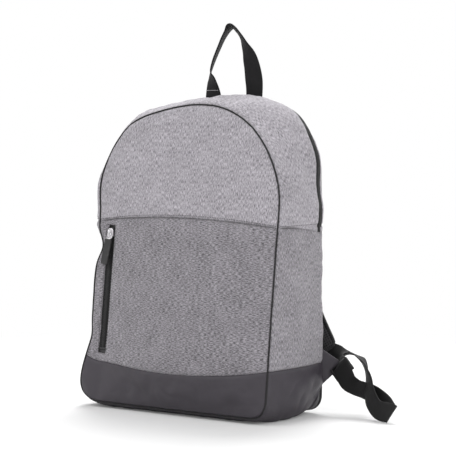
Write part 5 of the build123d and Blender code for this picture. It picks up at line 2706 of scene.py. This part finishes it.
@dataclass
class SliderSet:
    """A zip's slider and the pull that hangs from it, about the pull's hinge."""

    name: str
    finishes: Finishes
    across: Vector
    ahead: Vector
    out: Vector
    grip_length: float
    tilt: float = 0.0  # degrees, sideways
    shift: Vector = field(default_factory=Vector)
    width: float = 9.2 * MM
    length: float = 13.6 * MM
    plate: float = 1.4 * MM
    bail_rise: float = 1.1 * MM  # the hinge above the plate
    drop: float = 3.4 * MM  # from the plate down to the cloth
    wire: float = 0.62 * MM
    grip_width: float = 8.2 * MM
    grip_thickness: float = 2.8 * MM
    link_length: float = 9.0 * MM
    bail_wire: float = 0.85 * MM
    bail_foot: float = 4.6  # mm from the hinge
    # places along the plate and its width there, as shares of its half length and half width
    waist: tuple[tuple[float, float], ...] = (
        (-1.0, 0.30),
        (-0.93, 0.66),
        (-0.6, 0.74),
        (-0.1, 0.80),
        (0.25, 0.95),
        (0.62, 1.0),
        (0.88, 0.74),
        (1.0, 0.36),
    )
    # half of the bail's route, in mm along the plate and off the hinge
    bail: tuple[tuple[float, float], ...] = ((4.6, -1.3), (4.5, 0.2), (3.4, 1.35), (1.2, 1.75))

    def build(self) -> None:
        """Makes the slider and the pull."""
        place = Vector(joint_place(f"{self.name}_pull_swing")) + self.shift
        here = axes(place, self.across, self.ahead, self.out)
        body = self._body(here)
        placed(body, f"{self.name}_slider", "slider_metal", f"{self.name}_slider")
        hung = here @ Matrix.Rotation(math.radians(-self.tilt), 4, "Z")
        grip = self._grip(hung)
        placed(grip, f"{self.name}_pull", "pull_rubber", f"{self.name}_pull")
        link = self._link(hung).to_object(f"{self.name}_pull_link", self.finishes.metal)
        placed(link, f"{self.name}_pull", "slider_metal")

    def _body_outline(self, inset: float) -> list[tuple[float, float]]:
        """The slider's plate: wide shoulders at its head, waisted, and a narrower tail.

        Args:
            inset: how far it is drawn in.

        Returns:
            Points of the outline.
        """
        half = self.length / 2
        right = spline([Vector((x * self.width / 2, y * half, 0)) for y, x in self.waist], 3)
        points = [*right, *[Vector((-p.x, p.y, 0)) for p in right[::-1]]]
        middle_scale = 1 - inset / (self.width / 2)
        return [(p.x * middle_scale, p.y * (1 - inset / half)) for p in points]

    def _body(self, here: Matrix) -> bpy.types.Object:
        """The slider: its top plate, a flank down each side, and the bail on top with its feet.

        Args:
            here: the slider's own axes, at the pull's hinge.

        Returns:
            The slider.
        """
        top = -self.bail_rise
        draft = moulded(self._body_outline, edge_profile(top - self.plate, top, 0.45 * MM), here)
        low = top - self.plate - self.drop
        flank = edge_profile(low, top - self.plate * 0.5, 0.3 * MM)
        for side in (-1, 1):
            shift = here @ Matrix.Translation((side * (self.width / 2 - 0.9 * MM), 0.6 * MM, 0))
            draft.add_draft(block(1.3 * MM, 8.5 * MM, 0.6 * MM, flank, shift))
        arch = [*[(-y, z) for y, z in self.bail], *self.bail[::-1]]
        line = [here @ Vector((0, y * MM, z * MM)) for y, z in arch]
        draft.add_draft(tube(spline(line, 4), lambda share: self.bail_wire, 10))
        edge = edge_profile(top - 0.3 * MM, top + 0.9 * MM, 0.35 * MM)
        for y in (-self.bail_foot, self.bail_foot):
            foot = here @ Matrix.Translation((0, y * MM, 0))
            draft.add_draft(block(2.6 * MM, 2.2 * MM, 1.0 * MM, edge, foot))
        return draft.to_object(f"{self.name}_slider_body", self.finishes.metal)

    def _link(self, hung: Matrix) -> Draft:
        """The wire link round the bail, with the crimped plate that holds the grip.

        Args:
            hung: the pull's own axes, at its hinge.

        Returns:
            The link's draft.
        """
        outline = rounded(5.6 * MM, self.link_length, 2.2 * MM)
        middle = -(self.link_length / 2) + self.wire
        line = [hung @ Vector((x, y + middle, 0)) for x, y in outline]
        draft = tube(line, lambda share: self.wire, 8, closed=True)
        clasp = hung @ Matrix.Translation((0, -self.link_length + 1.6 * MM, 0))
        edge = edge_profile(-1.1 * MM, 1.1 * MM, 0.4 * MM)
        draft.add_draft(block(6.4 * MM, 3.0 * MM, 0.8 * MM, edge, clasp))
        return draft

    def _grip(self, hung: Matrix) -> bpy.types.Object:
        """The rubber grip: a rounded bar with a raised rim round a bare sunk face on both sides.

        Args:
            hung: the pull's own axes, at its hinge.

        Returns:
            The grip.
        """
        width, length, half = self.grip_width, self.grip_length, self.grip_thickness / 2
        middle = hung @ Matrix.Translation((0, -self.link_length - length / 2 + 2.0 * MM, 0))
        side = edge_profile(-half, half, 0.9 * MM)
        rim, sunk, inner = 1.5 * MM, 0.35 * MM, 0.95 * MM
        low = [(rim + 0.4 * MM, -half + sunk), (rim, -half + 0.05 * MM), (inner, -half)]
        profile = [*low, *side[1:-1], *[(inset, -height) for inset, height in low[::-1]]]
        draft = block(width, length, 2.6 * MM, profile, middle)
        return draft.to_object(f"{self.name}_pull_grip", self.finishes.rubber)


def both_sliders(bag: SoftBag) -> None:
    """Makes the sliders of both zips.

    Args:
        bag: the bag that they are for.
    """
    lean = math.atan(bag.form.slope)
    out = Vector((0, -math.cos(lean), math.sin(lean)))
    shift = ACROSS * 1.5 * MM
    SliderSet("pocket", bag.finishes, ACROSS, out.cross(ACROSS), out, 34 * MM, 8.0, shift,
              grip_width=11.0 * MM).build()
    rise = math.radians(6.0)  # the arch's lean where the main slider is
    out = Vector((-math.cos(rise), 0, math.sin(rise)))
    SliderSet("main", bag.finishes, -DEPTH, out.cross(-DEPTH), out, 28 * MM, shift=DEPTH * 2.8 * MM).build()


@dataclass
class LadderLock:
    """Moulded adjuster of two rails and three bars, which the webbing goes through."""

    name: str
    finishes: Finishes
    middle: tuple[float, float, float]  # mm
    bars: tuple[float, float, float]
    ahead: tuple[float, float, float]
    width: float = 28.5 * MM
    length: float = 20 * MM
    rail: float = 3.6 * MM
    thickness: float = 3.8 * MM
    bar: float = 1.5 * MM
    # places of the bars as shares of its length, and their rise
    bar_places: tuple[tuple[float, float], ...] = ((-0.42, 0.0), (0.02, -0.4 * MM), (0.42, 0.3 * MM))

    def build(self) -> None:
        """Makes the adjuster."""
        across = Vector(self.bars).normalized()
        out = across.cross(Vector(self.ahead)).normalized()
        here = axes(Vector(self.middle) * MM, across, out.cross(across), out)
        draft = Draft()
        side = edge_profile(-self.thickness / 2, self.thickness / 2, 1.0 * MM)
        for sign in (-1, 1):
            rail = here @ Matrix.Translation((sign * (self.width - self.rail) / 2, 0, 0))
            draft.add_draft(block(self.rail, self.length, 1.4 * MM, side, rail))
        half = self.width / 2 - self.rail / 2
        for share, lift in self.bar_places:
            ends = [here @ Vector((x, share * self.length, lift)) for x in (-half, 0, half)]
            draft.add_draft(tube(ends, lambda s: self.bar, 12))
        piece = draft.to_object(f"{self.name}_frame", self.finishes.buckle)
        placed(piece, "pack", "buckle_plastic", self.name)


# --------------------------------------------------------------------------------------------------
# Lining
# --------------------------------------------------------------------------------------------------


@dataclass
class Lining:
    """Loose lining inside the body and inside the flap."""

    bag: SoftBag
    inset: float = 5.0 * MM
    thickness: float = 0.7 * MM
    crease: float = 1.6 * MM
    crease_length: float = 30 * MM

    def build(self) -> None:
        """Makes both linings."""
        self._draw_in()
        flap = {Panel.UPPER.value, Panel.GUSSET.value}
        body = {p.value for p in Panel} - flap - {Panel.MAIN_SLOT.value}
        self._piece("lining_cloth_body", "pack", body, "lining_body", "pocket_back_wall")
        self._piece("lining_cloth_flap", "flap", flap, "lining_flap")
        mesh = self.bag.inner.data
        bpy.data.objects.remove(self.bag.inner)
        bpy.data.meshes.remove(mesh)

    def _draw_in(self) -> None:
        """Draws the copied shell in to where the lining hangs, with loose creases."""
        mesh = self.bag.inner.data
        places = []
        for vertex in mesh.vertices:
            loose = abs(self.crease * noise.noise(vertex.co / self.crease_length))
            places.append(vertex.co - vertex.normal * (self.inset + loose))
        for vertex, place in zip(mesh.vertices, places):
            vertex.co = place
        mesh.update()

    def _piece(self, name: str, body: str, panels: set[int], *nodes: str) -> None:
        """One lining, from some of the shell's panels.

        Args:
            name: the piece's name.
            body: the body that it moves with.
            panels: the panels that it lines.
            nodes: the CAD nodes that it replaces.
        """
        piece = parted(self.bag.inner, panels, name, self.bag.finishes.lining)
        subdivided(thickened(piece, self.thickness), 1)
        placed(piece, body, "lining", *nodes)


# --------------------------------------------------------------------------------------------------
# Stitching
# --------------------------------------------------------------------------------------------------


@dataclass
class SeamStitches:
    """Rows of stitches beside the bag's seams."""

    bag: SoftBag
    beside: float = 2.4 * MM  # a row's distance from its seam
    away: float = 0.03  # how far outside the bag its cloth is looked for
    margin: float = 2 * MM  # between the pocket zip's slot and the stitches round it
    seam_steps: int = 70
    slot_steps: int = 30
    side_steps: int = 20
    arch_steps: int = 160

    def build(self) -> None:
        """Makes every row."""
        form, finishes = self.bag.form, self.bag.finishes
        inward = Vector((0, 1, -form.slope)).normalized()
        half = form.half - 0.003
        xs = [half * (2 * k / self.seam_steps - 1) for k in range(self.seam_steps + 1)]
        rise = [form.seam_rise * (1 - (x / form.half) ** 2) for x in xs]
        above = [Vector((x, 0, form.seam + up + self.beside)) for x, up in zip(xs, rise)]
        flap = self._row([self._off_front(p, inward) for p in above], [inward] * len(above))
        self._side_rows(flap)
        placed(flap.to_object("flap_stitches", finishes.thread), "flap", "heather_grey")
        pocket = Draft()
        left, right = form.slot[0] - 1.8 * MM, form.slot[1] + 1.8 * MM
        low, high = form.slot_foot - self.margin, form.slot_head + self.margin
        corners = [(left, low), (left, high), (right, high), (right, low), (left, low)]
        shares = [k / self.slot_steps for k in range(self.slot_steps + 1)]
        for (x0, z0), (x1, z1) in zip(corners, corners[1:]):
            line = [Vector((x0 + (x1 - x0) * share, 0, z0 + (z1 - z0) * share)) for share in shares]
            pocket.add_draft(self._row([self._off_front(p, inward) for p in line], [inward] * len(line)))
        placed(pocket.to_object("pocket_zip_stitches", finishes.thread), "pack", "heather_grey")

    def _off_front(self, place: Vector, inward: Vector) -> Vector:
        """A point outside the front, level with a place on it."""
        return Vector((place.x, self.bag.form.front_y(place.z), place.z)) - inward * self.away

    def _row(self, outside: Sequence[Vector], inward: Sequence[Vector]) -> Draft:
        """Stitches along a line of probes."""
        hits = [self.bag.probe(p, d) for p, d in zip(outside, inward)]
        return Stitches().along([place for place, _ in hits], [normal for _, normal in hits])

    def _side_rows(self, flap: Draft) -> None:
        """Adds the rows above the seams at the sides, and those beside the main zip.

        Args:
            flap: the draft that they are added to.
        """
        form = self.bag.form
        front = form.front_y(form.seam) + 4 * MM
        deep = form.main_slot[0] - 4 * MM - front
        for sign in (-1.0, 1.0):
            depths = [front + deep * k / self.side_steps for k in range(self.side_steps + 1)]
            sides = [Vector((sign * (form.half + self.away), y, form.seam + self.beside)) for y in depths]
            flap.add_draft(self._row(sides, [ACROSS * -sign] * len(sides)))
        path = resample(form.arch_path(), [k / self.arch_steps for k in range(self.arch_steps + 1)])
        depth = form.main_slot[0] - self.beside
        outs = [off_arch(path, index) for index in range(1, self.arch_steps)]
        outside = [Vector((p.x, depth, p.z)) + out * self.away for p, out in zip(path[1:], outs)]
        flap.add_draft(self._row(outside, [-out for out in outs]))


# --------------------------------------------------------------------------------------------------
# Studio
# --------------------------------------------------------------------------------------------------


def aimed(thing: bpy.types.Object, place: Sequence[float], aim: Sequence[float]) -> None:
    """Puts a lamp or the camera in the scene.

    Args:
        thing: the lamp or camera.
        place: where it stands.
        aim: the point that it looks at.
    """
    thing.location = place
    thing.rotation_euler = (Vector(aim) - Vector(place)).to_track_quat("-Z", "Y").to_euler()
    bpy.context.scene.collection.objects.link(thing)


@dataclass
class Lamp:
    """A soft square lamp aimed at a point."""

    name: str
    place: tuple[float, float, float]
    aim: tuple[float, float, float]
    size: float
    watts: float

    def build(self) -> None:
        """Makes the lamp."""
        data = bpy.data.lights.new(self.name, "AREA")
        data.shape = "SQUARE"
        data.size = self.size
        data.energy = self.watts
        lamp = bpy.data.objects.new(self.name, data)
        aimed(lamp, self.place, self.aim)


@dataclass
class Studio:
    """Pale floor, soft lamps, white surroundings and the camera."""

    camera_place: tuple[float, float, float] = (1.5851, -2.0669, 0.3957)
    camera_aim: tuple[float, float, float] = (0.0262, 0.0216, 0.2359)
    lens: float = 160.04
    sensor: float = 36.0
    floor_size: float = 30.0
    floor_shade: float = 0.8
    floor_lift: float = 0.08
    fade: tuple[float, float] = (0.35, 0.9)  # distances from the bag between which the floor fades to white
    sky: float = 0.5
    lamps: tuple[Lamp, ...] = (
        Lamp("key_lamp", (-1.2, -2.4, 2.6), (0, 0, 0.2), 2.2, 35.0),
        Lamp("fill_lamp", (2.6, -1.0, 1.8), (0, 0, 0.2), 2.4, 40.0),
        Lamp("top_lamp", (-0.7, 1.4, 2.7), (0, 0, 0.1), 1.5, 85.0),
    )

    def build(self) -> None:
        """Makes the studio."""
        self._floor()
        self._world()
        for lamp in self.lamps:
            lamp.build()
        self._camera()
        bpy.context.scene.view_settings.view_transform = "Standard"

    def _floor(self) -> None:
        """The floor, which the camera sees as white but for the object's shadow near it."""
        graph = Graph("floor")
        diffuse = graph.add("ShaderNodeBsdfDiffuse", {}, {"Color": grey(self.floor_shade)})
        white = graph.add("ShaderNodeEmission", {}, {"Strength": 1.0})
        lift = graph.add("ShaderNodeEmission", {}, {"Strength": self.floor_lift})
        lifted = graph.add("ShaderNodeAddShader", {}, {0: diffuse, 1: lift})
        place = graph.add("ShaderNodeNewGeometry", {}, {}, "Position")
        away = graph.add("ShaderNodeVectorMath", {"operation": "LENGTH"}, {0: place}, "Value")
        near = graph.add("ShaderNodeMixShader", {}, {0: away.ramp(*self.fade), 1: lifted, 2: white})
        seen = graph.add("ShaderNodeLightPath", {}, {}, "Is Camera Ray")
        shader = graph.add("ShaderNodeMixShader", {}, {0: seen, 1: diffuse, 2: near})
        draft = Draft()
        half = self.floor_size / 2
        draft.points = [Vector((x * half, y * half, 0)) for x, y in ((-1, -1), (1, -1), (1, 1), (-1, 1))]
        draft.add_face((0, 1, 2, 3), [(0, 0), (1, 0), (1, 1), (0, 1)])
        draft.to_object("floor", graph.finish(shader))

    def _world(self) -> None:
        """White to the camera and in reflections, and a soft grey light on the object."""
        graph = Graph("surroundings", "worlds")
        light = graph.add("ShaderNodeBackground", {}, {"Color": WHITE, "Strength": self.sky})
        white = graph.add("ShaderNodeBackground", {}, {"Color": WHITE})
        rays = ("Is Camera Ray", "Is Glossy Ray", "Is Transmission Ray")
        camera, glossy, clear = (graph.add("ShaderNodeLightPath", {}, {}, ray) for ray in rays)
        plain = camera.or_more(glossy).or_more(clear)
        shader = graph.add("ShaderNodeMixShader", {}, {0: plain, 1: light, 2: white})
        bpy.context.scene.world = graph.finish(shader)

    def _camera(self) -> None:
        """The camera."""
        data = bpy.data.cameras.new("camera")
        data.lens = self.lens
        data.sensor_width = self.sensor
        camera = bpy.data.objects.new("camera", data)
        aimed(camera, self.camera_place, self.camera_aim)
        bpy.context.scene.camera = camera


def main() -> None:
    """Builds the studio and the bag, piece by piece."""
    logging.basicConfig(level=logging.INFO, format="%(name)s: %(message)s")
    Studio().build()
    finishes = Finishes()
    bag = SoftBag(BagForm(), finishes)
    bag.build()
    Piping(bag).build()
    Zips(bag).build()
    CarryHandle(bag).build()
    StrapSide(bag, 1.0, "right", bag_route=RIGHT_LOOP).build()
    StrapSide(bag, -1.0, "left", bag_route=LEFT_LOOP).build()
    StrapPatch(bag).build()
    SeamStitches(bag).build()
    both_sliders(bag)
    Lining(bag).build()
    for name, middle, bars, ahead in LADDER_LOCKS:
        LadderLock(name, finishes, middle, bars, ahead).build()


if __name__ == "__main__":
    main()
